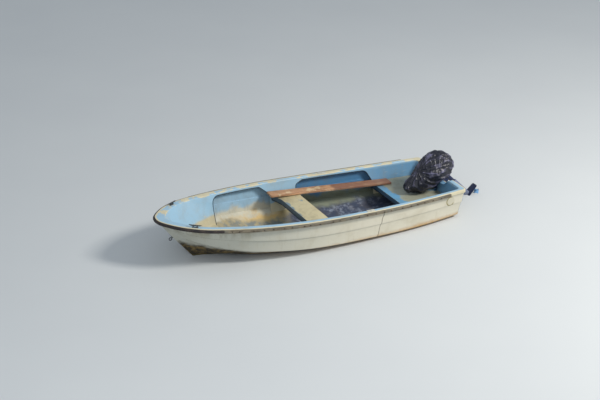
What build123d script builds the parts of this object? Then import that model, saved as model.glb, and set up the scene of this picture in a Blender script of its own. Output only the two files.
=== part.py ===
"""Small moulded rowing boat with a tilted outboard motor.

Millimetres.  +X points to the bow, +Y to port and +Z up.  The origin lies amidships on the
waterline.  The hull is lofted from a table of offsets, one row for each frame, and the inner
moulding is ruled between two plan outlines made of tangent arcs.
"""
from build123d import *
from math import acos, cos, degrees, hypot, radians, sin, sqrt
import os

os.makedirs("parts", exist_ok=True)

# Gunwale in plan: the bow tip, then tangent arcs from the bow aft
BOW_TIP_X = 1975.0
TRANSOM_TOP_X = -2000.0
GUNWALE_AFT_X = -2010.0           # outer edge of the moulding across the transom
GUNWALE_ARCS = (
    # radius, degrees turned
    (226.0, 34.2),                # bow
    (950.0, 40.0),                # shoulder
    (5130.0, 15.7),               # side
    (17700.0, 8.0),               # quarter
)

# Sheer in profile: one arc through three heights
SHEER_SPAN_X = 2000.0             # the end heights are taken this far from the origin
SHEER_STERN_Z = 391.0
SHEER_MID_Z = 437.0
SHEER_BOW_Z = 577.0

# Opening of the inner moulding at the sheer, and its foot on the bottom of the hull
OPENING_TIP_X = 1878.0
OPENING_AFT_X = -1945.0
OPENING_ARCS = ((147.0, 28.2), (764.0, 46.1), (5160.0, 15.7), (18300.0, 8.0))
FOOT_TIP_X = 1400.0
FOOT_AFT_X = -1870.0
FOOT_ARCS = ((80.0, 47.4), (1904.0, 37.4), (5705.0, 6.9), (24700.0, 8.0))
FOOT_Z = 0.0
OPENING_PLANE_RISE = 10.0         # the opening's plane lies this far above the sheer's chord

# Thickness of the mouldings, and the gaps at which pieces are bedded together
HULL_SKIN = 6.0
TRANSOM_SKIN = 12.0
LINER_SKIN = 5.0
FLANGE_SKIN = 5.0
SEAT_SKIN = 6.0
BEDDING = 0.3
HULL_TO_LIP = 5.5                 # the hull's top edge lies this far inside the turned-down lip
HULL_TO_FLANGE = 1.5              # and this far below the gunwale's top

# Planking of the hull
KEEL_WIDTH = 50.0
KEEL_DEPTH = 25.0
LAP = 9.0                         # each plank stands this far outside the one below it
LAP_AT_STEM = 1.0
GUNWALE_LIP_DEPTH = 42.0          # the inner moulding's edge turned down over the hull
GUNWALE_LIP_SKIN = 5.0

# Frames of the hull, from the transom to the stem.  Each frame is a plane that crosses the
# centreline between its keel point and its sheer point, so the frames fan out at both ends.
AFT_FRAMES = (
    # sheer_x, keel_x, keel_z, bilge_y, bilge_z, chine_in, chine_z, lap_in, lap_z
    (-2000.0, -1906.0, -75.0, 330.0, -30.0, 40.0, 40.0, 12.0, 215.0),
    (-1300.0, -1272.0, -108.0, 385.0, -44.0, 22.0, 33.0, 6.0, 211.0),
    (-600.0, -590.0, -130.0, 410.0, -48.0, 18.0, 50.0, 5.0, 215.0),
    (100.0, 90.0, -136.0, 412.0, -38.0, 21.0, 75.0, 6.0, 236.0),
    (800.0, 740.0, -130.0, 355.0, 0.0, 36.0, 133.0, 12.0, 291.0),
)
BOW_FRAMES = (
    AFT_FRAMES[-1],
    (1100.0, 985.0, -120.0, 300.0, 28.0, 50.0, 167.0, 18.0, 326.0),
    (1380.0, 1175.0, -102.0, 225.0, 60.0, 78.0, 210.0, 32.0, 362.0),
    (1640.0, 1340.0, -75.0, 135.0, 85.0, 108.0, 262.0, 46.0, 402.0),
    (1900.0, 1489.0, -40.0, 42.0, 100.0, 83.0, 325.0, 46.0, 447.0),
)
STEM_PROFILE = (
    # height, x of the stem's face
    (-40.0, 1501.0),
    (100.0, 1618.0),
    (325.0, 1804.0),
    (447.0, 1893.0),
    (610.0, 1982.0),
)

# Seats
THWART_TOP_Z = 285.0
THWART_FORE_X = 122.0
THWART_AFT_X = -152.0
THWART_FLARE = 70.0               # extra length each way where it meets the sides
THWART_FLARE_START_Y = 400.0
THWART_FLARE_END_Y = 640.0
THWART_FLARE_RADIUS = 180.0
THWART_DEPTH = 62.0
STERN_SEAT_TOP_Z = 190.0
STERN_SEAT_FORE_X = -1262.0
STERN_SEAT_DEPTH = 60.0
BOW_SEAT_TOP_Z = 150.0
BOW_SEAT_AFT_X = 1050.0
BOW_SEAT_DEPTH = 70.0

# Openings cut through each side of the inner moulding, in profile
BAY_FOOT_Z = -250.0
FORE_BAY = (
    # x, z, corner radius
    (1040.0, BAY_FOOT_Z, 0.0),
    (1038.0, 474.0, 90.0),
    (338.0, 424.0, 70.0),
    (192.0, 300.0, 60.0),
    (188.0, BAY_FOOT_Z, 0.0),
)
AFT_BAY = (
    (-185.0, BAY_FOOT_Z, 0.0),
    (-182.0, 352.0, 50.0),
    (-280.0, 399.0, 70.0),
    (-1195.0, 363.0, 100.0),
    (-1294.0, 190.0, 60.0),
    (-1300.0, BAY_FOOT_Z, 0.0),
)
BEAD_DEPTH = 8.0                  # rubber bead on the edges of the bays and seats
BEAD_BACK = 4.0                   # it stands this far behind the panel and as far in front
BEAD_FRONT = 4.0

# Rail, cleats, rowlock sockets and stem eye
RAIL_THICKNESS = 24.0
RAIL_HEIGHT = 38.0
RAIL_DROP = 4.0                   # top of the rail below the sheer
BOW_FENDER_END_X = 1330.0
RAIL_END_X = -1750.0
RAIL_LENGTHS = (("fore", BOW_FENDER_END_X, 250.0),      # wooden lengths, butted end to end
                ("mid", 250.0, -750.0),
                ("aft", -750.0, RAIL_END_X))
CLEAT_X = 1630.0
CLEAT_INSET = 45.0                # centre of a cleat inboard of the gunwale's edge
CLEAT_LENGTH = 150.0
CLEAT_HEIGHT = 34.0
CLEAT_BASE_LENGTH = 76.0
CLEAT_BASE_WIDTH = 26.0
CLEAT_BASE_THICKNESS = 5.0
ROWLOCK_X = -580.0
ROWLOCK_BORE = 13.0
ROWLOCK_INSET = 38.0
ROWLOCK_PLATE_LENGTH = 110.0
ROWLOCK_PLATE_WIDTH = 52.0
ROWLOCK_PLATE_THICKNESS = 5.0
ROWLOCK_BUSH_RADIUS = 13.0
ROWLOCK_BUSH_TOP = 7.0            # above the gunwale
ROWLOCK_SHANK_DEPTH = 46.0
EYE_Z = 297.0
EYE_BORE_RADIUS = 12.0
EYE_RING_RADIUS = 22.0            # outside
EYE_RING_WIDTH = 10.0
EYE_RING_ROUNDING = 3.0
EYE_SHANK_RADIUS = 5.0
EYE_SHANK_LENGTH = 12.0
EYE_FLANGE_RADIUS = 14.0
EYE_FLANGE_THICKNESS = 4.0
STEM_LEAN = 39.6                  # degrees of the stem's face from upright at the eye

# Loose board, laid from the thwart to the stern seat
PLANK_LENGTH = 1720.0
PLANK_WIDTH = 150.0
PLANK_THICKNESS = 25.0
PLANK_AFT_X = -1470.0
PLANK_AFT_Y = -445.0
PLANK_FORE_Y = -515.0
PLANK_EDGE = 2.0                  # chamfer
PLANK_BEARING = 0.85              # share of the thwart's flare at which the board rests on it

# Drain plug in the transom
DRAIN_Y = -70.0
DRAIN_Z = 5.0
DRAIN_RADIUS = 15.0
DRAIN_FLANGE = 4.0
DRAIN_GRIP = 6.0

# The transom's top edge dips between the quarters, where the motor is clamped
DIP_WIDTH = 360.0
DIP_Z = 306.0
DIP_SIDE = 90.0                   # each side of the dip slopes over this width
CAP_SKIN = 6.0
CAP_LIP = 34.0

# Motor, measured upright from its tilt pin: aft of it, forward of it, above or below it
TILT_PIN_X = -2052.0
TILT_PIN_Z = 295.0
TILT_REST = 45.0                  # degrees from upright, as it is stowed
PIN_RADIUS = 8.0
RUNNING_GAP = 0.05                # radial clearance of a shaft in its bore
SIDE_GAP = 5.0                    # between the swivel bracket and the clamp bracket's arms
ARM_INNER_Y = 50.0
ARM_THICKNESS = 8.0
JAW_X = -1890.0
JAW_THICKNESS = 10.0
JAW_FOOT_Z = 205.0
HOOK_THICKNESS = 8.0              # bridge over the transom, and foot outside it
HOOK_FOOT_Z = 200.0
HOOK_FOOT_GAP = 1.5
SCREW_Y = 36.0
SCREW_Z = 240.0
SCREW_RADIUS = 7.0
SCREW_PAD_RADIUS = 15.0
SCREW_PAD_THICKNESS = 5.0
SCREW_REACH = 48.0                # inboard of the jaw
SCREW_BAR_RADIUS = 4.5
SCREW_BAR_LENGTH = 56.0
STEER_AFT = 52.0
STEER_RADIUS = 20.0
SWIVEL_TUBE_RADIUS = 28.0
SWIVEL_TOP = 52.0
SWIVEL_BOTTOM = -135.0
LEG_HALF_CHORD = 36.0
LEG_HALF_WIDTH = 21.0
COLLAR_RADIUS = 29.0
COLLAR_THICKNESS = 22.0
PLATE_DOWN = 458.0
PLATE_THICKNESS = 6.0
PLATE_FORE_AFT = 2.0
PLATE_AFT = 216.0
PLATE_WIDTH = 128.0
GEARCASE_DOWN = 560.0
GEARCASE_RADIUS = 31.0
GEARCASE_FORE_AFT = -20.0         # ahead of the pin
GEARCASE_AFT = 123.0
SKEG_DOWN = 668.0
SKEG_THICKNESS = 8.0
PROPELLER_RADIUS = 95.0
PROPELLER_HUB_RADIUS = 24.0
PROPELLER_HUB_LENGTH = 62.0
PROPELLER_SHAFT_RADIUS = 7.0
PROPELLER_BLADES = 3
PROPELLER_PITCH = 32.0            # degrees between a blade and the disc
BLADE_THICKNESS = 4.0
BLADE_HALF_CHORD = 29.0
POWERHEAD_BOTTOM = 142.0
POWERHEAD_TOP = 395.0
POWERHEAD_FORE = 70.0
POWERHEAD_AFT = 180.0
POWERHEAD_WIDTH = 190.0
POWERHEAD_CORNER = 38.0
TILLER_RADIUS = 13.0
TILLER_START_FORE = 70.0
TILLER_START_UP = 190.0
TILLER_REACH = 400.0
TILLER_RAISE = 33.5               # degrees above square to the leg
GRIP_RADIUS = 18.0
GRIP_LENGTH = 125.0

# Plastic cover tied over the powerhead and tiller: a dome on a skirt, a belly and a pouch
COVER_AFT = 62.0
COVER_MOUTH_UP = 152.0
COVER_MOUTH_RADIUS = 176.0
COVER_DOME_UP = 245.0
COVER_DOME_RADIUS = 208.0
COVER_SKIN = 8.0
BELLY_FORE = 196.0
BELLY_UP = 302.0
BELLY_RADIUS = 160.0
POUCH_START_RADIUS = 40.0
POUCH_RADIUS = 106.0
POUCH_REACH = 481.0

FAR = 3000.0                      # longer than the boat, for cutting tools
STANDING = (Align.CENTER, Align.CENTER, Align.MIN)


def plan_arcs(tip_x, table):
    """Centre, radius and start and end angle of each tangent arc, from the tip aft."""
    x, y, heading = tip_x, 0.0, 90.0
    arcs = []
    for radius, turn in table:
        start = heading - 90.0
        centre = (x - radius * cos(radians(start)), y - radius * sin(radians(start)))
        arcs.append((centre, radius, start, start + turn))
        heading += turn
        x = centre[0] + radius * cos(radians(start + turn))
        y = centre[1] + radius * sin(radians(start + turn))
    return arcs


GUNWALE = plan_arcs(BOW_TIP_X, GUNWALE_ARCS)
OPENING = plan_arcs(OPENING_TIP_X, OPENING_ARCS)
FOOT = plan_arcs(FOOT_TIP_X, FOOT_ARCS)


def half_breadth(arcs, x, inset=0.0):
    """Half-breadth of a plan outline at x, with the outline moved inwards by inset."""
    for (centre_x, centre_y), radius, _, end in arcs:
        r = radius - inset
        if x >= centre_x + r * cos(radians(end)) - 1e-6:
            return centre_y + sqrt(r * r - (x - centre_x) ** 2)
    raise ValueError("x lies aft of the outline")


def plan_outline(arcs, aft_x, inset=0.0):
    """Closed face of a plan outline, cut square at aft_x and moved inwards by inset."""
    aft_x += inset
    port = []
    for (centre_x, centre_y), radius, start, end in arcs:
        r = radius - inset
        last = centre_x + r * cos(radians(end)) < aft_x
        if last:
            end = degrees(acos((aft_x - centre_x) / r))
        angles = [radians(angle) for angle in (start, (start + end) / 2, end)]
        port.append([(centre_x + r * cos(a), centre_y + r * sin(a)) for a in angles])
        if last:
            break
    starboard = [[(x, -y) for x, y in reversed(arc)] for arc in reversed(port)]
    edges = [ThreePointArc(*arc) for arc in port]
    edges.append(Line(port[-1][2], starboard[0][0]))
    edges += [ThreePointArc(*arc) for arc in starboard]
    return Face(Wire(edges))


def circle_through(a, b, c):
    """Centre and radius of the circle through three points."""
    d = 2 * (a[0] * (b[1] - c[1]) + b[0] * (c[1] - a[1]) + c[0] * (a[1] - b[1]))
    s = [p[0] ** 2 + p[1] ** 2 for p in (a, b, c)]
    x = (s[0] * (b[1] - c[1]) + s[1] * (c[1] - a[1]) + s[2] * (a[1] - b[1])) / d
    y = (s[0] * (c[0] - b[0]) + s[1] * (a[0] - c[0]) + s[2] * (b[0] - a[0])) / d
    return (x, y), hypot(a[0] - x, a[1] - y)


SHEER_CENTRE, SHEER_RADIUS = circle_through(
    (-SHEER_SPAN_X, SHEER_STERN_Z), (0.0, SHEER_MID_Z), (SHEER_SPAN_X, SHEER_BOW_Z))


def sheer_z(x, below=0.0):
    """Height of the sheer at x, or of the line that runs the given depth below it."""
    return SHEER_CENTRE[1] - sqrt((SHEER_RADIUS + below) ** 2 - (x - SHEER_CENTRE[0]) ** 2)


def sheer_band(top, bottom, fore_x=FAR, aft_x=-FAR):
    """Slab across the boat that follows the sheer, from depth top to depth bottom below it."""
    corners = [(x, sheer_z(x, depth)) for depth, x in
               ((top, aft_x), (top, fore_x), (bottom, fore_x), (bottom, aft_x))]
    middle = (fore_x + aft_x) / 2
    profile = Wire([
        ThreePointArc(corners[0], (middle, sheer_z(middle, top)), corners[1]),
        Line(corners[1], corners[2]),
        ThreePointArc(corners[2], (middle, sheer_z(middle, bottom)), corners[3]),
        Line(corners[3], corners[0]),
    ])
    face = Plane.XZ * Face(profile)
    return extrude(face, amount=FAR / 2, both=True)


def box(low, high):
    """Box between two corners."""
    size = [b - a for a, b in zip(low, high)]
    centre = [(a + b) / 2 for a, b in zip(low, high)]
    return Pos(*centre) * Box(*size)


def prism(arcs, aft_x, inset=0.0):
    """Upright prism on a plan outline, taller than the boat."""
    return extrude(Pos(0, 0, -FAR / 4) * plan_outline(arcs, aft_x, inset), amount=FAR / 2)


def frame_lines(row, inset, lap):
    """The plank edges of one frame, from the keel up, on the skin's outside or inset from it."""
    sheer_x, bilge_y, bilge_z, chine_in, chine_z, lap_in, lap_z = row[:1] + row[3:]
    sheer_y = half_breadth(GUNWALE, sheer_x, GUNWALE_LIP_SKIN + HULL_TO_LIP)
    points = []
    for y, z in ((bilge_y, bilge_z), (sheer_y - chine_in, chine_z), (sheer_y - lap_in, lap_z)):
        points += [(y - lap - inset, z + inset), (y - inset, z + inset)]
    return points, sheer_y - inset


def raked(row, outline):
    """Closed polygon through (y, z) points, laid in the frame's raked plane."""
    sheer_x, keel_x, keel_z = row[:3]
    rake = (sheer_x - keel_x) / (sheer_z(sheer_x) - keel_z)
    points = [Vector(keel_x + rake * (z - keel_z), y, z) for y, z in outline]
    return Wire.make_polygon(points, close=True)


def lap_of(row):
    """The laps run out at the stem."""
    return LAP_AT_STEM if row is BOW_FRAMES[-1] else LAP


def skin_section(row):
    """Closed section of the hull's skin: round the outside and back along the inside."""
    keel_z, top_z = row[2], sheer_z(row[0]) - FLANGE_SKIN - HULL_TO_FLANGE
    outer, outer_top = frame_lines(row, 0.0, lap_of(row))
    inner, inner_top = frame_lines(row, HULL_SKIN, lap_of(row))
    half_keel = KEEL_WIDTH / 2
    outer = [(half_keel, keel_z), (half_keel + 1.0, keel_z + KEEL_DEPTH)] + outer
    inner = [(half_keel, keel_z + KEEL_DEPTH + HULL_SKIN)] + inner
    outer.append((outer_top, top_z))
    inner.append((inner_top, top_z))
    mirrored = lambda half: [(-y, z) for y, z in half]
    return raked(row, mirrored(outer[::-1]) + outer + inner[::-1] + mirrored(inner))


def hollow_section(row, inset, raise_top):
    """Closed section of the space inside the skin, with its faces inset from the outside."""
    half, top = frame_lines(row, inset, lap_of(row))
    half = [(KEEL_WIDTH / 2, row[2] + KEEL_DEPTH + inset)] + half
    half.append((top, sheer_z(row[0]) + raise_top))
    return raked(row, [(-y, z) for y, z in reversed(half)] + half)


def stem_nose(inset, foot_z, top_z):
    """Rounded stem ahead of the last frame, ruled between segments of a circle.

    Each segment's chord lies in the last frame and its arc touches the stem's profile.
    """
    row = BOW_FRAMES[-1]
    rake = (row[0] - row[1]) / (sheer_z(row[0]) - row[2])
    lines, sheer_y = frame_lines(row, 0.0, 0.0)
    widths = [(row[2], KEEL_WIDTH / 2 + 1.0)] + [(z, y) for y, z in lines[::2]]
    widths += [(top_z, sheer_y)]
    slant = hypot(1.0, rake)
    segments = []
    for z, half_width in widths:
        if z < foot_z:
            z = foot_z
        chord_x = row[1] + rake * (z - row[2])
        tip_x = interpolate(STEM_PROFILE, z) - inset * slant
        y = half_width - inset
        arc = ThreePointArc((chord_x, -y, z), (tip_x, 0, z), (chord_x, y, z))
        segments.append(Face(Wire([arc, Line((chord_x, y, z), (chord_x, -y, z))])))
    return Solid.make_loft([face.outer_wire() for face in segments], ruled=True)


def interpolate(table, at):
    """Value of a table of (at, value) rows between its rows, and in line past its end."""
    for (a, value_a), (b, value_b) in zip(table, table[1:]):
        if at <= b or b == table[-1][0]:
            return value_a + (value_b - value_a) * (at - a) / (b - a)


def transom_face_x(z):
    """Outer face of the raked transom at height z."""
    row = AFT_FRAMES[0]
    return row[1] + (row[0] - row[1]) * (z - row[2]) / (sheer_z(row[0]) - row[2])


def rounded_wire(points, radii):
    """Closed wire through (x, z) points, with a corner radius at each of the first points."""
    wire = Wire.make_polygon([Vector(x, 0, z) for x, z in points], close=True)
    for (x, z), radius in zip(points, radii):
        if radius:
            corner = min(wire.vertices(), key=lambda v: hypot(v.X - x, v.Z - z))
            wire = wire.fillet_2d(radius, [corner])
    return wire


def profile_prism(points, half_length):
    """Prism along Y through a closed (x, z) profile."""
    return extrude(Face(rounded_wire(points, [])), amount=half_length, dir=(0, 1, 0), both=True)


def dip_prism(drop=0.0):
    """Prism along X that cuts the dip in the transom's top edge, its sides sloping and rounded."""
    half, top, foot = DIP_WIDTH / 2, 700.0, DIP_Z - drop
    reach = DIP_SIDE * (top - foot) / (SHEER_STERN_Z - DIP_Z)
    points = [(-half - reach, top), (-half, foot), (half, foot), (half + reach, top)]
    wire = Wire.make_polygon([Vector(0, y, z) for y, z in points], close=True)
    low = [v for v in wire.vertices() if v.Z < top - 1.0]
    face = Face(wire.fillet_2d(DIP_SIDE, low))
    length = 300.0
    return Pos(TRANSOM_TOP_X - 150.0, 0, 0) * extrude(face, amount=length, dir=(1, 0, 0))


def make_hull():
    """Hull moulding with its rounded stem and transom."""
    aft = Solid.make_loft([skin_section(row) for row in AFT_FRAMES])
    bow = Solid.make_loft([skin_section(row) for row in BOW_FRAMES])
    top_z = sheer_z(BOW_FRAMES[-1][0]) - FLANGE_SKIN - HULL_TO_FLANGE
    nose = (stem_nose(0.0, BOW_FRAMES[-1][2], top_z)
            - stem_nose(HULL_SKIN, BOW_FRAMES[-1][2] + KEEL_DEPTH, top_z))
    row = AFT_FRAMES[0]
    half, top = frame_lines(row, HULL_SKIN / 2, LAP)
    half = [(KEEL_WIDTH / 2, row[2] + HULL_SKIN)] + half
    half.append((top, sheer_z(row[0]) - FLANGE_SKIN - HULL_TO_FLANGE))
    plate = Face(raked(row, [(-y, z) for y, z in reversed(half)] + half))
    transom = extrude(plate, amount=TRANSOM_SKIN, dir=(1, 0, 0))
    return aft + bow + nose + transom - dip_prism(CAP_SKIN + BEDDING)


def hollow(inset, raise_top=60.0):
    """Solid of the space inside the hull's skin."""
    aft = Solid.make_loft([hollow_section(row, inset, raise_top) for row in AFT_FRAMES])
    bow = Solid.make_loft([hollow_section(row, inset, raise_top) for row in BOW_FRAMES])
    top_z = sheer_z(BOW_FRAMES[-1][0]) + raise_top
    nose = stem_nose(inset, BOW_FRAMES[-1][2] + KEEL_DEPTH, top_z)
    return aft + bow + nose


def opening_plane():
    """Plane of the opening's outline, just above the chord of the sheer."""
    rise = (SHEER_BOW_Z - SHEER_STERN_Z) / (2 * SHEER_SPAN_X)
    chord_z = (SHEER_BOW_Z + SHEER_STERN_Z) / 2 + OPENING_PLANE_RISE
    return Plane(origin=(0, 0, chord_z), x_dir=(1, 0, rise), z_dir=(-rise, 0, 1))


def liner_form(inset=0.0):
    """Space inside the inner moulding, ruled from the opening's outline down to its foot."""
    top = opening_plane() * plan_outline(OPENING, OPENING_AFT_X, inset)
    foot = Pos(0, 0, FOOT_Z) * plan_outline(FOOT, FOOT_AFT_X, inset)
    return Solid.make_loft([foot.outer_wire(), top.outer_wire()], ruled=True)


def make_liner_walls(space):
    """Inner moulding before it is divided: gunwale, turned-down lip and the walls below it."""
    inside = liner_form()
    walls = (liner_form(-LINER_SKIN) - inside) & sheer_band(0.0, 700.0) & space
    edge = prism(GUNWALE, GUNWALE_AFT_X)
    flange = (edge - inside) & sheer_band(0.0, FLANGE_SKIN)
    lip = edge - prism(GUNWALE, GUNWALE_AFT_X, GUNWALE_LIP_SKIN)
    lip = (lip & sheer_band(0.0, GUNWALE_LIP_DEPTH)) - dip_prism(GUNWALE_LIP_DEPTH)
    return (walls + flange + lip) - dip_prism(CAP_SKIN + BEDDING)


def bay_prism(corners, grow=0.0):
    """Prism across the boat through a bay's profile, grown outwards all round."""
    wire = rounded_wire([corner[:2] for corner in corners], [corner[2] for corner in corners])
    if grow:
        wire = wire.offset_2d(grow, Kind.ARC)
    return extrude(Face(wire), amount=FAR / 2, dir=(0, 1, 0), both=True)


def tray(top_z, depth, fore_x, aft_x, space, outline=None, gap=BEDDING):
    """Seat moulding: a plate with its edges turned down, fitted between the liner's walls."""
    outer = liner_form(gap)
    inner = liner_form(gap + SEAT_SKIN)
    outside = box((aft_x, -FAR / 2, top_z - depth), (fore_x, FAR / 2, top_z))
    inside = box((aft_x + SEAT_SKIN, -FAR / 2, top_z - depth - 1.0),
                 (fore_x - SEAT_SKIN, FAR / 2, top_z - SEAT_SKIN))
    if outline is not None:
        outside = outside & outline(0.0)
        inside = inside & outline(SEAT_SKIN)
    return ((outside & outer) - (inside & inner)) & space


def thwart_outline(inset):
    """Plan of the thwart as an upright prism, wider where it meets the sides."""
    fore, aft = THWART_FORE_X - inset, THWART_AFT_X + inset
    start, end, flare = THWART_FLARE_START_Y, THWART_FLARE_END_Y, THWART_FLARE
    points = [(fore, -start), (fore, start), (fore + flare, end), (aft - flare, end),
              (aft, start), (aft, -start), (aft - flare, -end), (fore + flare, -end)]
    wire = Wire.make_polygon([Vector(x, y, 0) for x, y in points], close=True)
    bends = [v for v in wire.vertices() if abs(v.Y) < start + 1.0]
    return extrude(Face(wire.fillet_2d(THWART_FLARE_RADIUS, bends)), amount=FAR / 2, both=True)


def rail_strip(fore_x, aft_x):
    """Rub rail round the turned-down lip between two stations."""
    strip = prism(GUNWALE, GUNWALE_AFT_X, -RAIL_THICKNESS) - prism(GUNWALE, GUNWALE_AFT_X, -BEDDING)
    strip = strip & sheer_band(RAIL_DROP, RAIL_DROP + RAIL_HEIGHT)
    strip = strip & box((aft_x, -FAR, -FAR), (fore_x, FAR, FAR))
    return strip


def sheer_frame(x, inset, side):
    """Location on the gunwale's top at x, its X axis along the edge and its Z axis up."""
    y = half_breadth(GUNWALE, x, inset)
    step = 1.0
    along = (half_breadth(GUNWALE, x + step, inset) - half_breadth(GUNWALE, x - step, inset)) / (2 * step)
    tangent = Vector(1, side * along, sheer_slope_ratio(x)).normalized()
    up = Vector(-sheer_slope_ratio(x), 0, 1).normalized()
    return Location(Plane(origin=(x, side * y, sheer_z(x)), x_dir=tangent, z_dir=up))


def sheer_slope_ratio(x):
    """Rise of the sheer for each millimetre forward at x."""
    return (x - SHEER_CENTRE[0]) / (SHEER_CENTRE[1] - sheer_z(x))


def make_cleat():
    """Horn cleat: a base plate, two posts and a bar whose horns taper and rise."""
    base = Pos(0, 0, CLEAT_BASE_THICKNESS / 2) * Box(CLEAT_BASE_LENGTH, CLEAT_BASE_WIDTH,
                                                      CLEAT_BASE_THICKNESS)
    base = fillet(base.edges().filter_by(Axis.Z), CLEAT_BASE_WIDTH * 0.4)
    post_x, bar_z = CLEAT_LENGTH * 0.16, CLEAT_HEIGHT - 8.0
    posts = [Pos(x, 0, bar_z / 2) * Cylinder(7.5, bar_z) for x in (-post_x, post_x)]
    half = [(0, bar_z - 6.0), (CLEAT_LENGTH * 0.30, bar_z - 5.0), (CLEAT_LENGTH / 2, bar_z + 3.0),
            (CLEAT_LENGTH / 2, bar_z + 8.0), (CLEAT_LENGTH * 0.28, bar_z + 6.0), (0, bar_z + 7.0)]
    outline = half + [(-x, z) for x, z in reversed(half[1:-1])]
    bar = profile_prism(outline, CLEAT_BASE_WIDTH * 0.25)
    return base + posts + bar


def make_rowlock_socket():
    """Plate on the gunwale's top with a bush that takes a rowlock's shank."""
    plate = Box(ROWLOCK_PLATE_LENGTH, ROWLOCK_PLATE_WIDTH, ROWLOCK_PLATE_THICKNESS)
    plate = fillet(plate.edges().filter_by(Axis.Z), ROWLOCK_PLATE_WIDTH * 0.23)
    plate = Pos(0, 0, ROWLOCK_PLATE_THICKNESS / 2 + BEDDING) * plate
    bush = Cylinder(ROWLOCK_BUSH_RADIUS, ROWLOCK_SHANK_DEPTH)
    bush = Pos(0, 0, ROWLOCK_BUSH_TOP - ROWLOCK_SHANK_DEPTH / 2) * bush
    bore = Pos(0, 0, -ROWLOCK_SHANK_DEPTH / 2) * Cylinder(ROWLOCK_BORE / 2, ROWLOCK_SHANK_DEPTH * 2)
    return plate + bush - bore


def make_stem_eye():
    """Eye bolt through the stem: a ring on a shank with a round flange."""
    x = interpolate(STEM_PROFILE, EYE_Z)
    flange = Rot(0, 90, 0) * Cylinder(EYE_FLANGE_RADIUS, EYE_FLANGE_THICKNESS)
    flange = Pos(EYE_FLANGE_THICKNESS / 2, 0, 0) * flange
    shank = Pos(EYE_SHANK_LENGTH / 2, 0, 0) * Rot(0, 90, 0) * Cylinder(EYE_SHANK_RADIUS, EYE_SHANK_LENGTH)
    ring = Cylinder(EYE_RING_RADIUS, EYE_RING_WIDTH) - Cylinder(EYE_BORE_RADIUS, EYE_RING_WIDTH)
    ring = Rot(90, 0, 0) * fillet(ring.edges().filter_by(GeomType.CIRCLE), EYE_RING_ROUNDING)
    ring = Pos(eye_ring_reach(), 0, 0) * ring
    return Pos(x, 0, EYE_Z) * Rot(0, STEM_LEAN, 0) * Pos(BEDDING, 0, 0) * (flange + shank + ring)


def eye_ring_reach():
    """Distance from the eye's flange to the middle of its ring."""
    return EYE_SHANK_LENGTH + EYE_RING_RADIUS - 2.0


def make_plank():
    """Board that rests on the thwart's aft edge and, with its aft end, on the stern seat."""
    bearing_x = THWART_AFT_X - THWART_FLARE * PLANK_BEARING
    slope = (THWART_TOP_Z - STERN_SEAT_TOP_Z) / (bearing_x - PLANK_AFT_X)
    along = Vector(PLANK_LENGTH, PLANK_FORE_Y - PLANK_AFT_Y, PLANK_LENGTH * slope).normalized()
    up = along.cross(Vector(0, 1, 0)).normalized()
    plane = Plane(origin=(PLANK_AFT_X, PLANK_AFT_Y, STERN_SEAT_TOP_Z + 2 * BEDDING), x_dir=along,
                  z_dir=up)
    board = Box(PLANK_LENGTH, PLANK_WIDTH, PLANK_THICKNESS, align=(Align.MIN, Align.CENTER, Align.MIN))
    board = chamfer(board.edges().filter_by(Axis.X), PLANK_EDGE)
    return plane.location * board


def make_drain_plug():
    """Round plug on the transom near the keel."""
    plug = Cylinder(DRAIN_RADIUS, DRAIN_FLANGE, align=STANDING)
    plug += Pos(0, 0, DRAIN_FLANGE) * Cylinder(DRAIN_RADIUS / 2, DRAIN_GRIP, align=STANDING)
    row = AFT_FRAMES[0]
    rake = (row[0] - row[1]) / (sheer_z(row[0]) - row[2])
    outward = Vector(-1, 0, rake)
    plane = Plane(origin=(transom_face_x(DRAIN_Z) - BEDDING, DRAIN_Y, DRAIN_Z), z_dir=outward)
    return plane.location * plug


def make_transom_cap():
    """Bent strip that covers the edges of both mouldings in the transom's dip."""
    cap = dip_prism(CAP_SKIN) - dip_prism(0.0)
    outer_x = transom_face_x(DIP_Z) - CAP_SKIN
    wall_x = liner_aft_x(DIP_Z) + CAP_SKIN
    cap = cap & box((outer_x, -FAR, -FAR), (wall_x, FAR, sheer_z(TRANSOM_TOP_X) - 1.0))
    half = DIP_WIDTH / 2 - DIP_SIDE / 4
    low = DIP_Z - CAP_LIP
    outer = [(transom_face_x(z) - BEDDING - t, z) for z, t in
             ((DIP_Z - CAP_SKIN, CAP_SKIN), (low, CAP_SKIN), (low, 0.0), (DIP_Z - CAP_SKIN, 0.0))]
    inner = [(liner_aft_x(z) + BEDDING + t, z) for z, t in
             ((DIP_Z - CAP_SKIN, 0.0), (low, 0.0), (low, CAP_SKIN), (DIP_Z - CAP_SKIN, CAP_SKIN))]
    lips = [profile_prism(points, half) for points in (outer, inner)]
    return cap + lips


def liner_aft_x(z):
    """Face of the inner moulding's aft wall at height z."""
    top = opening_plane().location * Pos(OPENING_AFT_X, 0, 0)
    x, z_top = top.position.X, top.position.Z
    return FOOT_AFT_X + (x - FOOT_AFT_X) * (z - FOOT_Z) / (z_top - FOOT_Z)


def at(aft, up, y=0.0):
    """Point of the upright motor in the boat's frame."""
    return (TILT_PIN_X - aft, y, TILT_PIN_Z + up)


def tilted(shape):
    """Turn an upright motor piece to the angle at which the motor is stowed."""
    return shape.rotate(Axis(at(0, 0), (0, 1, 0)), TILT_REST)


def post(radius, aft, low, high):
    """Upright cylinder of the motor."""
    x, y, z = at(aft, (low + high) / 2)
    return Pos(x, y, z) * Cylinder(radius, high - low)


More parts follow.
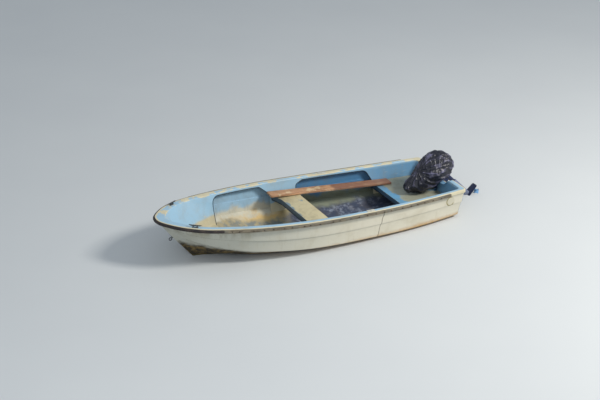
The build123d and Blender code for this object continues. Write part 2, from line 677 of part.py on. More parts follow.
def make_clamp_bracket():
    """Two arms hooked over the transom, joined by a bridge, a jaw inside and a foot outside."""
    top = DIP_Z + HOOK_THICKNESS
    under = DIP_Z + BEDDING
    outer_x = transom_face_x(DIP_Z) - CAP_SKIN - 2.0
    low = DIP_Z - CAP_LIP - 4.0
    foot_x = transom_face_x(HOOK_FOOT_Z)
    pin = at(0, 0)
    arm = [
        (JAW_X, top), (JAW_X, JAW_FOOT_Z), (JAW_X - JAW_THICKNESS, JAW_FOOT_Z),
        (JAW_X - JAW_THICKNESS, under), (outer_x, under), (outer_x, low),
        (transom_face_x(low) - HOOK_FOOT_GAP, low), (foot_x - HOOK_FOOT_GAP, HOOK_FOOT_Z),
        (foot_x - 22.0, HOOK_FOOT_Z - 7.0), (pin[0] - 16.0, pin[2] - 18.0),
        (pin[0] - 18.0, pin[2] + 12.0), (pin[0] - 8.0, top),
    ]
    plate = profile_prism(arm, ARM_THICKNESS / 2)
    middle = ARM_INNER_Y + ARM_THICKNESS / 2
    width = ARM_INNER_Y + ARM_THICKNESS
    bridge = box((outer_x, -width, under), (JAW_X, width, top))
    jaw = box((JAW_X - JAW_THICKNESS, -width, JAW_FOOT_Z), (JAW_X, width, top))
    foot = profile_prism([(transom_face_x(z) - HOOK_FOOT_GAP - t, z) for z, t in
                          ((low, 0.0), (HOOK_FOOT_Z, 0.0), (HOOK_FOOT_Z, HOOK_THICKNESS),
                           (low, HOOK_THICKNESS))], width)
    axle = Pos(*pin) * Rot(90, 0, 0) * Cylinder(PIN_RADIUS, 2 * width + 12.0)
    bracket = Pos(0, middle, 0) * plate + Pos(0, -middle, 0) * plate + bridge + jaw + foot + axle
    for side in (1, -1):
        hole = Pos(JAW_X, side * SCREW_Y, SCREW_Z) * Rot(0, 90, 0) * Cylinder(SCREW_RADIUS + BEDDING, 60)
        bracket -= hole
    return bracket


def make_clamp_screw(side):
    """Screw through the jaw, with a pad that lies along the inner wall and a bar to turn it."""
    wall_x = liner_aft_x(SCREW_Z)
    slope = (liner_aft_x(SCREW_Z + 50) - liner_aft_x(SCREW_Z - 50)) / 100
    pad_plane = Plane(origin=(wall_x + BEDDING + 0.1, side * SCREW_Y, SCREW_Z),
                      z_dir=(1, 0, -slope))
    pad = pad_plane.location * Cylinder(SCREW_PAD_RADIUS, SCREW_PAD_THICKNESS, align=STANDING)
    start, end = wall_x + SCREW_PAD_THICKNESS - 1.0, JAW_X + SCREW_REACH
    screw = Rot(0, 90, 0) * Cylinder(SCREW_RADIUS, end - start)
    screw = Pos((start + end) / 2, side * SCREW_Y, SCREW_Z) * screw
    bar = Rot(90, 0, 0) * Cylinder(SCREW_BAR_RADIUS, SCREW_BAR_LENGTH)
    bar = Pos(end - 8.0, side * SCREW_Y, SCREW_Z) * bar
    return pad + screw + bar


def make_swivel_bracket():
    """Bracket that tilts on the pin and carries the steering tube."""
    half = ARM_INNER_Y - SIDE_GAP
    barrel = Pos(*at(0, 0)) * Rot(90, 0, 0) * Cylinder(PIN_RADIUS + 9.0, 2 * half)
    tube = post(SWIVEL_TUBE_RADIUS, STEER_AFT, SWIVEL_BOTTOM, SWIVEL_TOP)
    x, y, z = at(STEER_AFT / 2, -20.0)
    web = Pos(x, y, z) * Box(STEER_AFT, 34.0, 62.0)
    bracket = barrel + tube + web
    bracket -= Pos(*at(0, 0)) * Rot(90, 0, 0) * Cylinder(PIN_RADIUS + RUNNING_GAP, FAR)
    bracket -= post(STEER_RADIUS + RUNNING_GAP, STEER_AFT, SWIVEL_BOTTOM - 10, SWIVEL_TOP + 10)
    return bracket


def lens(half_chord, half_width):
    """Streamlined section of the leg: two arcs with a narrow blunt nose and tail."""
    blunt = half_width * 0.28
    x = TILT_PIN_X - STEER_AFT
    corner = [(x - half_chord, -blunt), (x + half_chord, -blunt), (x + half_chord, blunt),
              (x - half_chord, blunt)]
    return Face(Wire([
        ThreePointArc(corner[0], (x, -half_width), corner[1]),
        ThreePointArc(corner[1], (x + half_chord + blunt, 0), corner[2]),
        ThreePointArc(corner[2], (x, half_width), corner[3]),
        ThreePointArc(corner[3], (x - half_chord - blunt * 0.6, 0), corner[0]),
    ]))


def leg_length(half_chord, half_width, low, high):
    """Length of streamlined leg between two heights."""
    return Pos(0, 0, TILT_PIN_Z + low) * extrude(lens(half_chord, half_width), amount=high - low)


def make_leg():
    """Leg housing, round where it turns in the swivel bracket and streamlined below it."""
    top = POWERHEAD_BOTTOM - BEDDING
    leg = leg_length(LEG_HALF_CHORD, LEG_HALF_WIDTH, -PLATE_DOWN + BEDDING, SWIVEL_BOTTOM - SIDE_GAP)
    tube = post(STEER_RADIUS, STEER_AFT, SWIVEL_BOTTOM - SIDE_GAP - 1.0, top)
    collar = post(COLLAR_RADIUS, STEER_AFT, SWIVEL_TOP + SIDE_GAP, SWIVEL_TOP + SIDE_GAP + COLLAR_THICKNESS)
    foot = post(COLLAR_RADIUS, STEER_AFT, top - COLLAR_THICKNESS, top)
    return leg + tube + collar + foot


def make_plate():
    """Anti-ventilation plate: rounded in front, square behind with rounded corners."""
    x0, x1 = TILT_PIN_X - PLATE_FORE_AFT, TILT_PIN_X - PLATE_AFT
    half = PLATE_WIDTH / 2
    wire = Wire([
        ThreePointArc((x0 - half * 0.9, -half), (x0, 0), (x0 - half * 0.9, half)),
        Line((x0 - half * 0.9, half), (x1, half * 0.8)),
        Line((x1, half * 0.8), (x1, -half * 0.8)),
        Line((x1, -half * 0.8), (x0 - half * 0.9, -half)),
    ])
    corners = [v for v in wire.vertices() if v.X < x1 + 1.0]
    plate = extrude(Face(wire.fillet_2d(22.0, corners)), amount=PLATE_THICKNESS)
    return Pos(0, 0, TILT_PIN_Z - PLATE_DOWN - PLATE_THICKNESS) * plate


def make_gearcase():
    """Torpedo-shaped gearcase with its strut and skeg, and the propeller shaft."""
    fore, aft, r = GEARCASE_FORE_AFT, GEARCASE_AFT, GEARCASE_RADIUS
    x0, _, z0 = at(0, -GEARCASE_DOWN)
    profile = Wire([
        ThreePointArc((x0 - fore, 0), (x0 - fore - r * 0.45, r * 0.72), (x0 - fore - r * 1.6, r)),
        Line((x0 - fore - r * 1.6, r), (x0 - aft + 30.0, r)),
        Line((x0 - aft + 30.0, r), (x0 - aft, PROPELLER_HUB_RADIUS)),
        Line((x0 - aft, PROPELLER_HUB_RADIUS), (x0 - aft, 0)),
        Line((x0 - aft, 0), (x0 - fore, 0)),
    ])
    torpedo = Pos(0, 0, z0) * revolve(Face(profile), Axis.X)
    strut = leg_length(LEG_HALF_CHORD + 8.0, LEG_HALF_WIDTH - 2.0,
                       -GEARCASE_DOWN, -PLATE_DOWN - PLATE_THICKNESS - BEDDING)
    x = x0 - STEER_AFT
    skeg = profile_prism([(x + 45.0, z0), (x - 55.0, z0), (x - 48.0, TILT_PIN_Z - SKEG_DOWN),
                          (x - 12.0, TILT_PIN_Z - SKEG_DOWN)], SKEG_THICKNESS / 2)
    length = PROPELLER_HUB_LENGTH + 14.0
    shaft = Rot(0, 90, 0) * Cylinder(PROPELLER_SHAFT_RADIUS, length + 10.0)
    shaft = Pos(x0 - aft - length / 2 + 5.0, 0, z0) * shaft
    return torpedo + strut + skeg + shaft


def make_propeller():
    """Hub with three blades set at the pitch angle."""
    x0, y0, z0 = at(GEARCASE_AFT + 3.0, -GEARCASE_DOWN)
    length = PROPELLER_HUB_LENGTH
    hub = Cone(PROPELLER_HUB_RADIUS, PROPELLER_HUB_RADIUS * 0.8, length, align=STANDING)
    hub = Rot(0, -90, 0) * hub
    reach = PROPELLER_RADIUS - PROPELLER_HUB_RADIUS + 8.0
    blade = extrude(Ellipse(reach / 2, BLADE_HALF_CHORD), amount=BLADE_THICKNESS / 2, both=True)
    for i in range(PROPELLER_BLADES):
        centre = PROPELLER_RADIUS - reach / 2
        placed = Pos(-length / 2, 0, centre) * Rot(0, 0, PROPELLER_PITCH) * Rot(0, 90, 0) * blade
        hub += Rot(360.0 * i / PROPELLER_BLADES, 0, 0) * placed
    hub -= Rot(0, 90, 0) * Cylinder(PROPELLER_SHAFT_RADIUS + RUNNING_GAP, FAR)
    return Pos(x0, y0, z0) * hub


def make_powerhead():
    """Engine under its cowl, one rounded block."""
    low = at(POWERHEAD_AFT, POWERHEAD_BOTTOM, 0)
    block = box((low[0], -POWERHEAD_WIDTH / 2, low[2]),
                (TILT_PIN_X + POWERHEAD_FORE, POWERHEAD_WIDTH / 2, TILT_PIN_Z + POWERHEAD_TOP))
    block = fillet(block.edges().filter_by(Axis.Z), POWERHEAD_CORNER)
    return fillet(block.edges().group_by(Axis.Z)[-1], POWERHEAD_CORNER * 0.7)


def tiller_axis(reach):
    """Location on the tiller's axis, Z pointing along it."""
    lean = radians(TILLER_RAISE)
    direction = Vector(cos(lean), 0, sin(lean))
    start = Vector(*at(-TILLER_START_FORE, TILLER_START_UP)) + direction * reach
    return Plane(origin=start, z_dir=direction).location


def make_tiller():
    """Tiller arm with its grip."""
    arm = Cylinder(TILLER_RADIUS, TILLER_REACH - GRIP_LENGTH, align=STANDING)
    grip = Cylinder(GRIP_RADIUS, GRIP_LENGTH, align=STANDING)
    grip = fillet(grip.edges(), GRIP_RADIUS / 3)
    return tiller_axis(8.0) * arm + tiller_axis(TILLER_REACH - GRIP_LENGTH) * grip


def cover_lobes(skin):
    """Dome over the powerhead and pouch over the tiller, their faces moved inwards by skin."""
    x, y, z = at(COVER_AFT, 0)
    low, shoulder = COVER_MOUTH_UP - skin, COVER_DOME_UP
    skirt = Pos(x, y, z + low) * Cone(COVER_MOUTH_RADIUS - skin, COVER_DOME_RADIUS - skin,
                                      shoulder - low, align=STANDING)
    dome = Sphere(COVER_DOME_RADIUS - skin) - Pos(0, 0, -FAR / 2) * Box(FAR, FAR, FAR)
    dome = Pos(x, y, z + shoulder) * dome
    length = POUCH_REACH - POUCH_RADIUS
    pouch = tiller_axis(0.0) * Cone(POUCH_START_RADIUS - skin, POUCH_RADIUS - skin, length, align=STANDING)
    tip = tiller_axis(length) * Sphere(POUCH_RADIUS - skin)
    belly = Pos(*at(-BELLY_FORE, BELLY_UP)) * Sphere(BELLY_RADIUS - skin)
    return skirt + dome + belly + pouch + tip


def make_cover():
    """Thin cover, open underneath round the leg."""
    x, y, z = at(COVER_AFT, COVER_MOUTH_UP - 40.0)
    mouth = Pos(x, y, z) * Cylinder(COVER_MOUTH_RADIUS - COVER_SKIN - 1.0, 70.0)
    return cover_lobes(0.0) - cover_lobes(COVER_SKIN) - mouth


def bay_trim(corners, wall, space):
    """Bead on the edge of a bay, both sides of the boat, where no seat covers it."""
    ring = bay_prism(corners, -BEDDING) - bay_prism(corners, -BEAD_DEPTH)
    under_thwart = thwart_outline(-40.0) & box((-FAR, -FAR, -FAR), (FAR, FAR, THWART_TOP_Z + BEDDING))
    under_seat = box((-FAR, -FAR, -FAR), (STERN_SEAT_FORE_X + BEDDING, FAR, STERN_SEAT_TOP_Z + BEDDING))
    return (ring & wall & space) - under_thwart - under_seat


def seat_trim(outline, edge_z, space):
    """Bead under the lower edge of a seat, between the inner moulding's walls."""
    strip = outline(-BEAD_FRONT) - outline(SEAT_SKIN + BEAD_BACK)
    band = box((-FAR, -FAR, edge_z - BEAD_DEPTH), (FAR, FAR, edge_z - BEDDING))
    return strip & band & liner_form(LINER_SKIN) & space


def straight_edge(x, direction):
    """Prism that ends square across the boat at x: direction is 1 where it lies ahead of x."""
    def outline(inset):
        near, far = x + direction * inset, x + direction * 300.0
        return box((min(near, far), -FAR, -FAR), (max(near, far), FAR, FAR))
    return outline


def sides(shape):
    """The port and starboard halves of a shape."""
    port = shape & box((-FAR, 0, -FAR), (FAR, FAR, FAR))
    starboard = shape & box((-FAR, -FAR, -FAR), (FAR, 0, FAR))
    return ("port", port), ("starboard", starboard)


def build():
    """All pieces of the boat by node name."""
    space = hollow(HULL_SKIN + BEDDING)
    liner = make_liner_walls(space)
    for side in (1, -1):
        liner -= sheer_frame(ROWLOCK_X, ROWLOCK_INSET, side) * Cylinder(ROWLOCK_BUSH_RADIUS + BEDDING, 80)
    bow_x, stern_x = FORE_BAY[0][0], AFT_BAY[-1][0]
    nodes = {"hull_shell": make_hull()}
    bow_seat = tray(BOW_SEAT_TOP_Z, BOW_SEAT_DEPTH, FAR, BOW_SEAT_AFT_X, space, gap=-1.0)
    nodes["bow_moulding"] = (liner & box((bow_x, -FAR, -FAR), (FAR, FAR, FAR))) + bow_seat
    nodes["stern_moulding"] = liner & box((-FAR, -FAR, -FAR), (stern_x, FAR, FAR))
    middle = liner & box((stern_x, -FAR, -FAR), (bow_x, FAR, FAR))
    middle = middle - bay_prism(FORE_BAY) - bay_prism(AFT_BAY)
    for side, half in sides(middle):
        nodes[f"side_moulding_{side}"] = half
    nodes["mid_thwart"] = tray(THWART_TOP_Z, THWART_DEPTH, 300, -300, space, thwart_outline)
    nodes["stern_seat"] = tray(STERN_SEAT_TOP_Z, STERN_SEAT_DEPTH, STERN_SEAT_FORE_X, -1960, space)
    nodes["transom_cap"] = make_transom_cap()

    wall = liner_form(-LINER_SKIN - BEAD_BACK) - liner_form(BEAD_FRONT)
    for name, corners in (("fore", FORE_BAY), ("aft", AFT_BAY)):
        for side, half in sides(bay_trim(corners, wall, space)):
            nodes[f"bay_trim_{name}_{side}"] = half
    trim = seat_trim(thwart_outline, THWART_TOP_Z - THWART_DEPTH, space)
    nodes["thwart_trim_fore"] = trim & box((0, -FAR, -FAR), (FAR, FAR, FAR))
    nodes["thwart_trim_aft"] = trim & box((-FAR, -FAR, -FAR), (0, FAR, FAR))
    nodes["bow_seat_trim"] = seat_trim(straight_edge(BOW_SEAT_AFT_X, 1),
                                       BOW_SEAT_TOP_Z - BOW_SEAT_DEPTH, space)
    nodes["stern_seat_trim"] = seat_trim(straight_edge(STERN_SEAT_FORE_X, -1),
                                         STERN_SEAT_TOP_Z - STERN_SEAT_DEPTH, space)

    nodes["bow_fender"] = rail_strip(FAR, BOW_FENDER_END_X)
    for name, fore_x, aft_x in RAIL_LENGTHS:
        for side, half in sides(rail_strip(fore_x - BEDDING, aft_x)):
            nodes[f"rub_rail_{name}_{side}"] = half
    for name, side in (("port", 1), ("starboard", -1)):
        nodes[f"cleat_{name}"] = sheer_frame(CLEAT_X, CLEAT_INSET, side) * Pos(0, 0, BEDDING) * make_cleat()
        nodes[f"rowlock_socket_{name}"] = sheer_frame(ROWLOCK_X, ROWLOCK_INSET, side) * make_rowlock_socket()
    nodes["stem_eye"] = make_stem_eye()
    nodes["drain_plug"] = make_drain_plug()
    nodes["loose_board"] = make_plank()

    nodes["clamp_bracket"] = make_clamp_bracket()
    for name, side in (("port", 1), ("starboard", -1)):
        nodes[f"clamp_screw_{name}"] = make_clamp_screw(side)
    nodes["swivel_bracket"] = tilted(make_swivel_bracket())
    for name, make in (("motor_leg", make_leg), ("anti_ventilation_plate", make_plate),
                       ("gearcase", make_gearcase), ("propeller", make_propeller),
                       ("powerhead", make_powerhead), ("tiller", make_tiller),
                       ("motor_cover", make_cover)):
        nodes[name] = tilted(make())
    return nodes


if __name__ == "__main__":
    for name, node in build().items():
        export_step(node, f"parts/{name}.step")
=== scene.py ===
"""Looks of a small moulded rowing boat: mouldings, wood, rubber, and a covered outboard motor.

Metres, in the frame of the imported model: +X to the bow, +Y to port, +Z up, and the origin on
the centreline at the waterline.  Surfaces are functions of two parameters on grids: one runs
along the boat and the other across its section.
"""

from math import atan2, cos, hypot, pi, radians, sin, sqrt

import bmesh
import bpy
import numpy as np
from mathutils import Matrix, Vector


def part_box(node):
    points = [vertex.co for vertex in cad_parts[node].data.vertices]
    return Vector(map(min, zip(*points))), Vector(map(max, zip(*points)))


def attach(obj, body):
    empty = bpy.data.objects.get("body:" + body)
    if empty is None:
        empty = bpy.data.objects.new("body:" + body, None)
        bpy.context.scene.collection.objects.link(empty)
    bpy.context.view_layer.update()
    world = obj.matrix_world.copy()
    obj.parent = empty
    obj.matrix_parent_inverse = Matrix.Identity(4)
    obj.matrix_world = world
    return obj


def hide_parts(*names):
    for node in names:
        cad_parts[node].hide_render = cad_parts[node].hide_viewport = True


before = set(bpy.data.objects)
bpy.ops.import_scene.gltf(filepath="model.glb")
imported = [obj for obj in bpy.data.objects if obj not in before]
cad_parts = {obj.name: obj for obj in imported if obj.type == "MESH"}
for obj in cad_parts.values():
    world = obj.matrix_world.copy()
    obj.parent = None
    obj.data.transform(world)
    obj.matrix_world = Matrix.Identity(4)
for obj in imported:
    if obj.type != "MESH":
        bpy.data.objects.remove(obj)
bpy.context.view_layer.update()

# Plan outlines: tip, then (radius, degrees turned) of tangent arcs going aft, and the aft end
GUNWALE = (1.975, ((0.226, 34.2), (0.950, 40.0), (5.130, 15.7), (17.700, 8.0)), -2.010)
OPENING = (1.878, ((0.147, 28.2), (0.764, 46.1), (5.160, 15.7), (18.300, 8.0)), -1.945)
FOOT = (1.400, ((0.080, 47.4), (1.904, 37.4), (5.705, 6.9), (24.700, 8.0)), -1.870)
GUNWALE_CORNER, WALL_CORNER = 0.045, 0.060
ARC_SAMPLES = (14, 22, 46, 60)
QUARTER_SAMPLES = 10
TRANSOM_SAMPLES = 28

# Sheer: a parabola through three heights, the outer two a span aft and forward of the middle
SHEER_SPAN = 2.0
SHEER_STERN, SHEER_MID, SHEER_BOW = 0.391, 0.437, 0.577
OPENING_PLANE_RISE = 0.010

# Inner moulding
LIP_DEPTH = 0.042
MOULDING_SKIN = 0.005
GUNWALE_EDGE_RADIUS = 0.010
WALL_EDGE_RADIUS = 0.014
FLANGE_CROWN = 0.002
# Dip for the motor: half-width, width of its sides, height, and the stations where it fades out
DIP_HALF_WIDTH, DIP_SIDE, DIP_HEIGHT, DIP_FADE = 0.180, 0.090, 0.306, (-1.93, -1.83)
CAP_SKIN = 0.006
# The walls' foot sinks into the hull's inside face, but ends above it forward of a station
FOOT_SINK, FOOT_LIFT, FOOT_LIFT_STATION = 0.002, 0.016, 1.15

# Hull frames, transom to stem
HULL_TABLE = (
    # sheer_x, keel_x, keel_z, bilge_y, bilge_z, chine_in, chine_z, lap_in, lap_z, lap
    (-2.000, -1.906, -0.075, 0.330, -0.030, 0.040, 0.040, 0.012, 0.215, 0.009),
    (-1.300, -1.272, -0.108, 0.385, -0.044, 0.022, 0.033, 0.006, 0.211, 0.009),
    (-0.600, -0.590, -0.130, 0.410, -0.048, 0.018, 0.050, 0.005, 0.215, 0.009),
    (0.100, 0.090, -0.136, 0.412, -0.038, 0.021, 0.075, 0.006, 0.236, 0.009),
    (0.800, 0.740, -0.130, 0.355, 0.000, 0.036, 0.133, 0.012, 0.291, 0.009),
    (1.100, 0.985, -0.120, 0.300, 0.028, 0.050, 0.167, 0.018, 0.326, 0.009),
    (1.380, 1.175, -0.102, 0.225, 0.060, 0.078, 0.210, 0.032, 0.362, 0.008),
    (1.640, 1.340, -0.075, 0.135, 0.085, 0.108, 0.262, 0.046, 0.402, 0.006),
    (1.900, 1.489, -0.040, 0.042, 0.100, 0.083, 0.325, 0.046, 0.447, 0.001),
)
STERN, FORE_FRAME = HULL_TABLE[0][0], HULL_TABLE[-1][0]
STEM_Z = (-0.040, 0.100, 0.325, 0.447, 0.610)
STEM_X = (1.501, 1.618, 1.804, 1.893, 1.982)
HULL_SKIN = 0.006
TRANSOM_SKIN = 0.012
KEEL_HALF_WIDTH, KEEL_DEPTH = 0.025, 0.025
HULL_INSIDE_GUNWALE = 0.0105
HULL_BELOW_SHEER = 0.0065
PLANK_CAMBER = 0.004
STATIONS = 150
STERN_ROUNDING = 0.016
# Radius of the dark tubes that paint the shade in the laps
LAP_SHADOW_RADIUS = 0.0022
NOSE_STATIONS = 12

# Side pockets in profile, (x, z, corner radius)
BAY_FOOT = -0.250
FORE_BAY = ((1.040, BAY_FOOT, 0), (1.038, 0.474, 0.090), (0.338, 0.424, 0.070),
            (0.192, 0.300, 0.060), (0.188, BAY_FOOT, 0))
AFT_BAY = ((-0.185, BAY_FOOT, 0), (-0.182, 0.352, 0.050), (-0.280, 0.399, 0.070),
           (-1.195, 0.363, 0.100), (-1.294, 0.190, 0.060), (-1.300, BAY_FOOT, 0))

# Rail and fender
RAIL_THICKNESS, RAIL_HEIGHT, RAIL_DROP, RAIL_RADIUS = 0.024, 0.038, 0.004, 0.006
RAIL_BEDDING = 0.0003
FENDER_END, RAIL_END = 1.330, -1.750
SCREW_SPACING, SCREW_RADIUS, SCREW_HEIGHT = 0.125, 0.0092, 0.0014

# Motor, stowed: its pin and angle, and the middle of the sack's mouth as (aft of the pin, up)
TILT_PIN, TILT_ANGLE = (-2.052, 0.0, 0.295), 45.0
SACK_MOUTH = (0.062, 0.152)
# Balls that the sack covers at rest, as x, y, z, radius: engine to tiller, then each side
SACK_CHAINS = (
    ((-1.950, 0.035, 0.546, 0.182), (-1.923, 0.000, 0.530, 0.196), (-1.850, 0.000, 0.508, 0.186),
     (-1.780, 0.000, 0.460, 0.172), (-1.700, 0.000, 0.372, 0.160), (-1.600, 0.000, 0.330, 0.122),
     (-1.501, 0.000, 0.305, 0.086)),
    ((-1.985, 0.118, 0.472, 0.086), (-1.922, 0.120, 0.490, 0.110), (-1.820, 0.115, 0.460, 0.134),
     (-1.770, 0.086, 0.408, 0.136), (-1.720, 0.060, 0.370, 0.140), (-1.650, 0.060, 0.330, 0.120)),
    ((-1.965, -0.100, 0.480, 0.105), (-1.900, -0.100, 0.490, 0.125), (-1.810, -0.085, 0.450, 0.135),
     (-1.740, -0.060, 0.390, 0.140)),
)
# Hem below the mouth, the notch between the sack's sides, and the notch's half-width
SACK_HEM, SACK_NOTCH, SACK_NOTCH_WIDTH = 0.066, 0.012, 0.092
SACK_VOXEL, SACK_FILM = 0.0085, 0.0012
# The cut sack stands outside the balls, and what it settles on lies inside them
SACK_OUTSIDE, SACK_INSIDE = 0.009, 0.034
# Folds fan out from the gather
SACK_GATHER = (-1.687, 0.025, 0.530)
FOLD_DEPTH, CREASE_DEPTH = 0.030, 0.009
# Cloth: how much wider it is cut, its frames, and how far a point may move
SACK_SLACK, SACK_FRAMES, SACK_REACH = 0.10, 22, 0.016
SACK_OFF_MOTOR = 0.005

# On the hull's port side: the crack's station at the waterline and its lean, and the round patch
CRACK_X, CRACK_LEAN = -0.691, 0.26
PATCH_X, PATCH_Z, PATCH_RADIUS = -1.772, 0.270, 0.058

# Camera at the photograph's angle: degrees, metres, millimetres
CAMERA_AZIMUTH, CAMERA_ELEVATION = 152.93, 25.66
CAMERA_DISTANCE, CAMERA_LENS, SENSOR = 18.84, 90.0, 36.0
CAMERA_SHIFT = (-0.00757, 0.0502)

UP = np.array([0.0, 0.0, 1.0])
COLOUR, FLOAT = "NodeSocketColor", "NodeSocketFloat"


def spline(knots, values, at):
    """Natural cubic spline: z'' solves the tridiagonal system of continuous slopes."""
    knots, values = np.asarray(knots, float), np.asarray(values, float)
    h = np.diff(knots)
    n = len(knots)
    system = np.eye(n)
    right = np.zeros(n)
    for i in range(1, n - 1):
        system[i, i - 1:i + 2] = h[i - 1], 2 * (h[i - 1] + h[i]), h[i]
        right[i] = 6 * ((values[i + 1] - values[i]) / h[i] - (values[i] - values[i - 1]) / h[i - 1])
    m = np.linalg.solve(system, right)
    i = np.clip(np.searchsorted(knots, at) - 1, 0, n - 2)
    a, b = knots[i + 1] - at, at - knots[i]
    return ((m[i] * a ** 3 + m[i + 1] * b ** 3) / (6 * h[i])
            + (values[i] / h[i] - m[i] * h[i] / 6) * a + (values[i + 1] / h[i] - m[i + 1] * h[i] / 6) * b)


def smoothstep(low, high, value):
    """0 below low, 1 above high, and a smooth cubic between."""
    t = np.clip((value - low) / (high - low), 0.0, 1.0)
    return t * t * (3 - 2 * t)


def curve(start, corner, end, t):
    """Points at shares t of the quadratic curve from start to end that a corner pulls."""
    return (1 - t) ** 2 * start + 2 * t * (1 - t) * corner + t * t * end


def in_space(plan):
    """Plan vectors (x, y) as (x, y, 0)."""
    return np.concatenate([plan, 0 * plan[:, :1]], 1)


def unit(vectors):
    """Vectors along the last axis, each divided by its length."""
    return vectors / np.maximum(np.linalg.norm(vectors, axis=-1, keepdims=True), 1e-9)


def waves(points, length, seed, count=10):
    """Smooth noise in -1..1: the mean of sines of random direction and about one wavelength."""
    random = np.random.default_rng(seed)
    directions = unit(random.normal(size=(count, 3)))
    sizes = 2 * pi / (length * random.uniform(0.7, 1.4, count))
    phases = random.uniform(0, 2 * pi, count)
    return np.sin(points @ (directions * sizes[:, None]).T + phases).sum(-1) / sqrt(count)


def sheer_z(x):
    """Height of the sheer at x, a parabola through the three heights."""
    bend = ((SHEER_STERN + SHEER_BOW) / 2 - SHEER_MID) / SHEER_SPAN ** 2
    return SHEER_MID + (SHEER_BOW - SHEER_STERN) / (2 * SHEER_SPAN) * x + bend * x * x


def dip(x, y):
    """How far the transom's top edge lies below the sheer at y."""
    depth = sheer_z(x) - (DIP_HEIGHT - CAP_SKIN)
    side = 1 - smoothstep(DIP_HALF_WIDTH - 0.02, DIP_HALF_WIDTH + DIP_SIDE, np.abs(y))
    return depth * side * (1 - smoothstep(*DIP_FADE, x))


def plan_arcs(outline):
    """Centre, radius, start and end angle of each tangent arc, cut at the outline's aft end."""
    tip_x, table, aft_x = outline
    x, y, start = tip_x, 0.0, 0.0
    arcs = []
    for radius, turn in table:
        end = start + radians(turn)
        centre_x, centre_y = x - radius * cos(start), y - radius * sin(start)
        if centre_x + radius * cos(end) < aft_x:
            end = np.arccos((aft_x - centre_x) / radius)
        arcs.append((centre_x, centre_y, radius, start, end))
        x, y, start = centre_x + radius * cos(end), centre_y + radius * sin(end), end
    return arcs


def half_breadth(outline, x):
    """Half-breadth of an outline at each x."""
    x = np.asarray(x, float)
    result = np.zeros_like(x)
    for centre_x, centre_y, radius, start, end in plan_arcs(outline):
        inside = (x <= centre_x + radius * cos(start) + 1e-9) & (x >= centre_x + radius * cos(end) - 1e-9)
        result[inside] = centre_y + np.sqrt(radius ** 2 - (x[inside] - centre_x) ** 2)
    return result


def closed_plan(outline, corner):
    """Points and outward normals of a closed outline: bow, port side, transom, starboard side.

    The quarters are rounded by a quadratic curve that starts the corner's length before the
    meeting point of side and transom.
    """
    points, normals = [], []
    arcs = plan_arcs(outline)
    for i, ((cx, cy, r, start, end), count) in enumerate(zip(arcs, ARC_SAMPLES)):
        if i == len(arcs) - 1:
            end -= corner / r
        angles = np.linspace(start, end, count, endpoint=i == len(arcs) - 1)
        points.append(np.stack([cx + r * np.cos(angles), cy + r * np.sin(angles)], 1))
        normals.append(np.stack([np.cos(angles), np.sin(angles)], 1))
    side_end, side_normal = points[-1][-1], normals[-1][-1]
    cx, cy, r, start, end = arcs[-1]
    meeting = np.array([cx + r * cos(end), cy + r * sin(end)])
    transom_start = meeting - np.array([0.0, corner])
    t = np.linspace(0, 1, QUARTER_SAMPLES + 2)[1:-1, None]
    points.append(curve(side_end, meeting, transom_start, t))
    normals.append(unit((1 - t) * side_normal + t * np.array([-1.0, 0.0])))
    across = np.linspace(transom_start[1], 0.0, TRANSOM_SAMPLES)
    points.append(np.stack([np.full_like(across, meeting[0]), across], 1))
    normals.append(np.tile([-1.0, 0.0], (TRANSOM_SAMPLES, 1)))
    points, normals = np.concatenate(points), np.concatenate(normals)
    return [np.concatenate([vectors, (vectors * [1, -1])[-2:0:-1]]) for vectors in (points, normals)]


def rounded_rows(rows, radii, splits, closed, cambers=None):
    """Rows of a section with its corners rounded and its edges divided.

    rows holds one array of points per corner of the section, radii the rounding at each corner,
    splits the number of divisions of the edge that follows it, and cambers the height of that
    edge's bulge, to the left of its direction in the section's plane.
    """
    count = len(rows)
    cambers = cambers or [0.0] * count
    result = []
    for i in range(count):
        before, here, after = rows[i - 1], rows[i], rows[(i + 1) % count]
        ends = not closed and i in (0, count - 1)
        entry, leave = here, here
        if radii[i] and not ends:
            back, on = before - here, after - here
            back_length = np.linalg.norm(back, axis=-1, keepdims=True) + 1e-9
            on_length = np.linalg.norm(on, axis=-1, keepdims=True) + 1e-9
            reach = np.minimum(radii[i], 0.45 * np.minimum(back_length, on_length))
            entry, leave = here + back / back_length * reach, here + on / on_length * reach
            result += [curve(entry, here, leave, t) for t in np.linspace(0, 1, 5)]
        else:
            result.append(here)
        if splits[i] > 1 and not (not closed and i == count - 1):
            j = (i + 1) % count
            on = rows[j] - leave
            length = np.linalg.norm(on, axis=-1, keepdims=True) + 1e-9
            reach = np.minimum(radii[j], 0.45 * length) if radii[j] else 0.0
            stop = rows[j] - on / length * reach
            side = np.cross(on / length, np.array([1.0, 0.0, 0.0]))
            for t in np.linspace(0, 1, splits[i] + 1)[1:-1]:
                result.append(leave + (stop - leave) * t + side * (cambers[i] * 4 * t * (1 - t)))
    return np.stack(result)


def grid_faces(rows, columns, close_rows, close_columns):
    """Quads of a grid whose points are stored row after row."""
    r, c = np.meshgrid(np.arange(rows - (not close_rows)), np.arange(columns - (not close_columns)),
                       indexing="ij")
    r, c = r.ravel(), c.ravel()
    r_next, c_next = (r + 1) % rows, (c + 1) % columns
    corners = [r * columns + c, r * columns + c_next, r_next * columns + c_next, r_next * columns + c]
    return np.stack(corners, 1).tolist()


def placed(name, data):
    """Object of some data, linked to the scene."""
    obj = bpy.data.objects.new(name, data)
    bpy.context.scene.collection.objects.link(obj)
    return obj


def placed_mesh(name, bm):
    """Object of a bmesh, which is freed."""
    mesh = bpy.data.meshes.new(name)
    bm.to_mesh(mesh)
    bm.free()
    return placed(name, mesh)


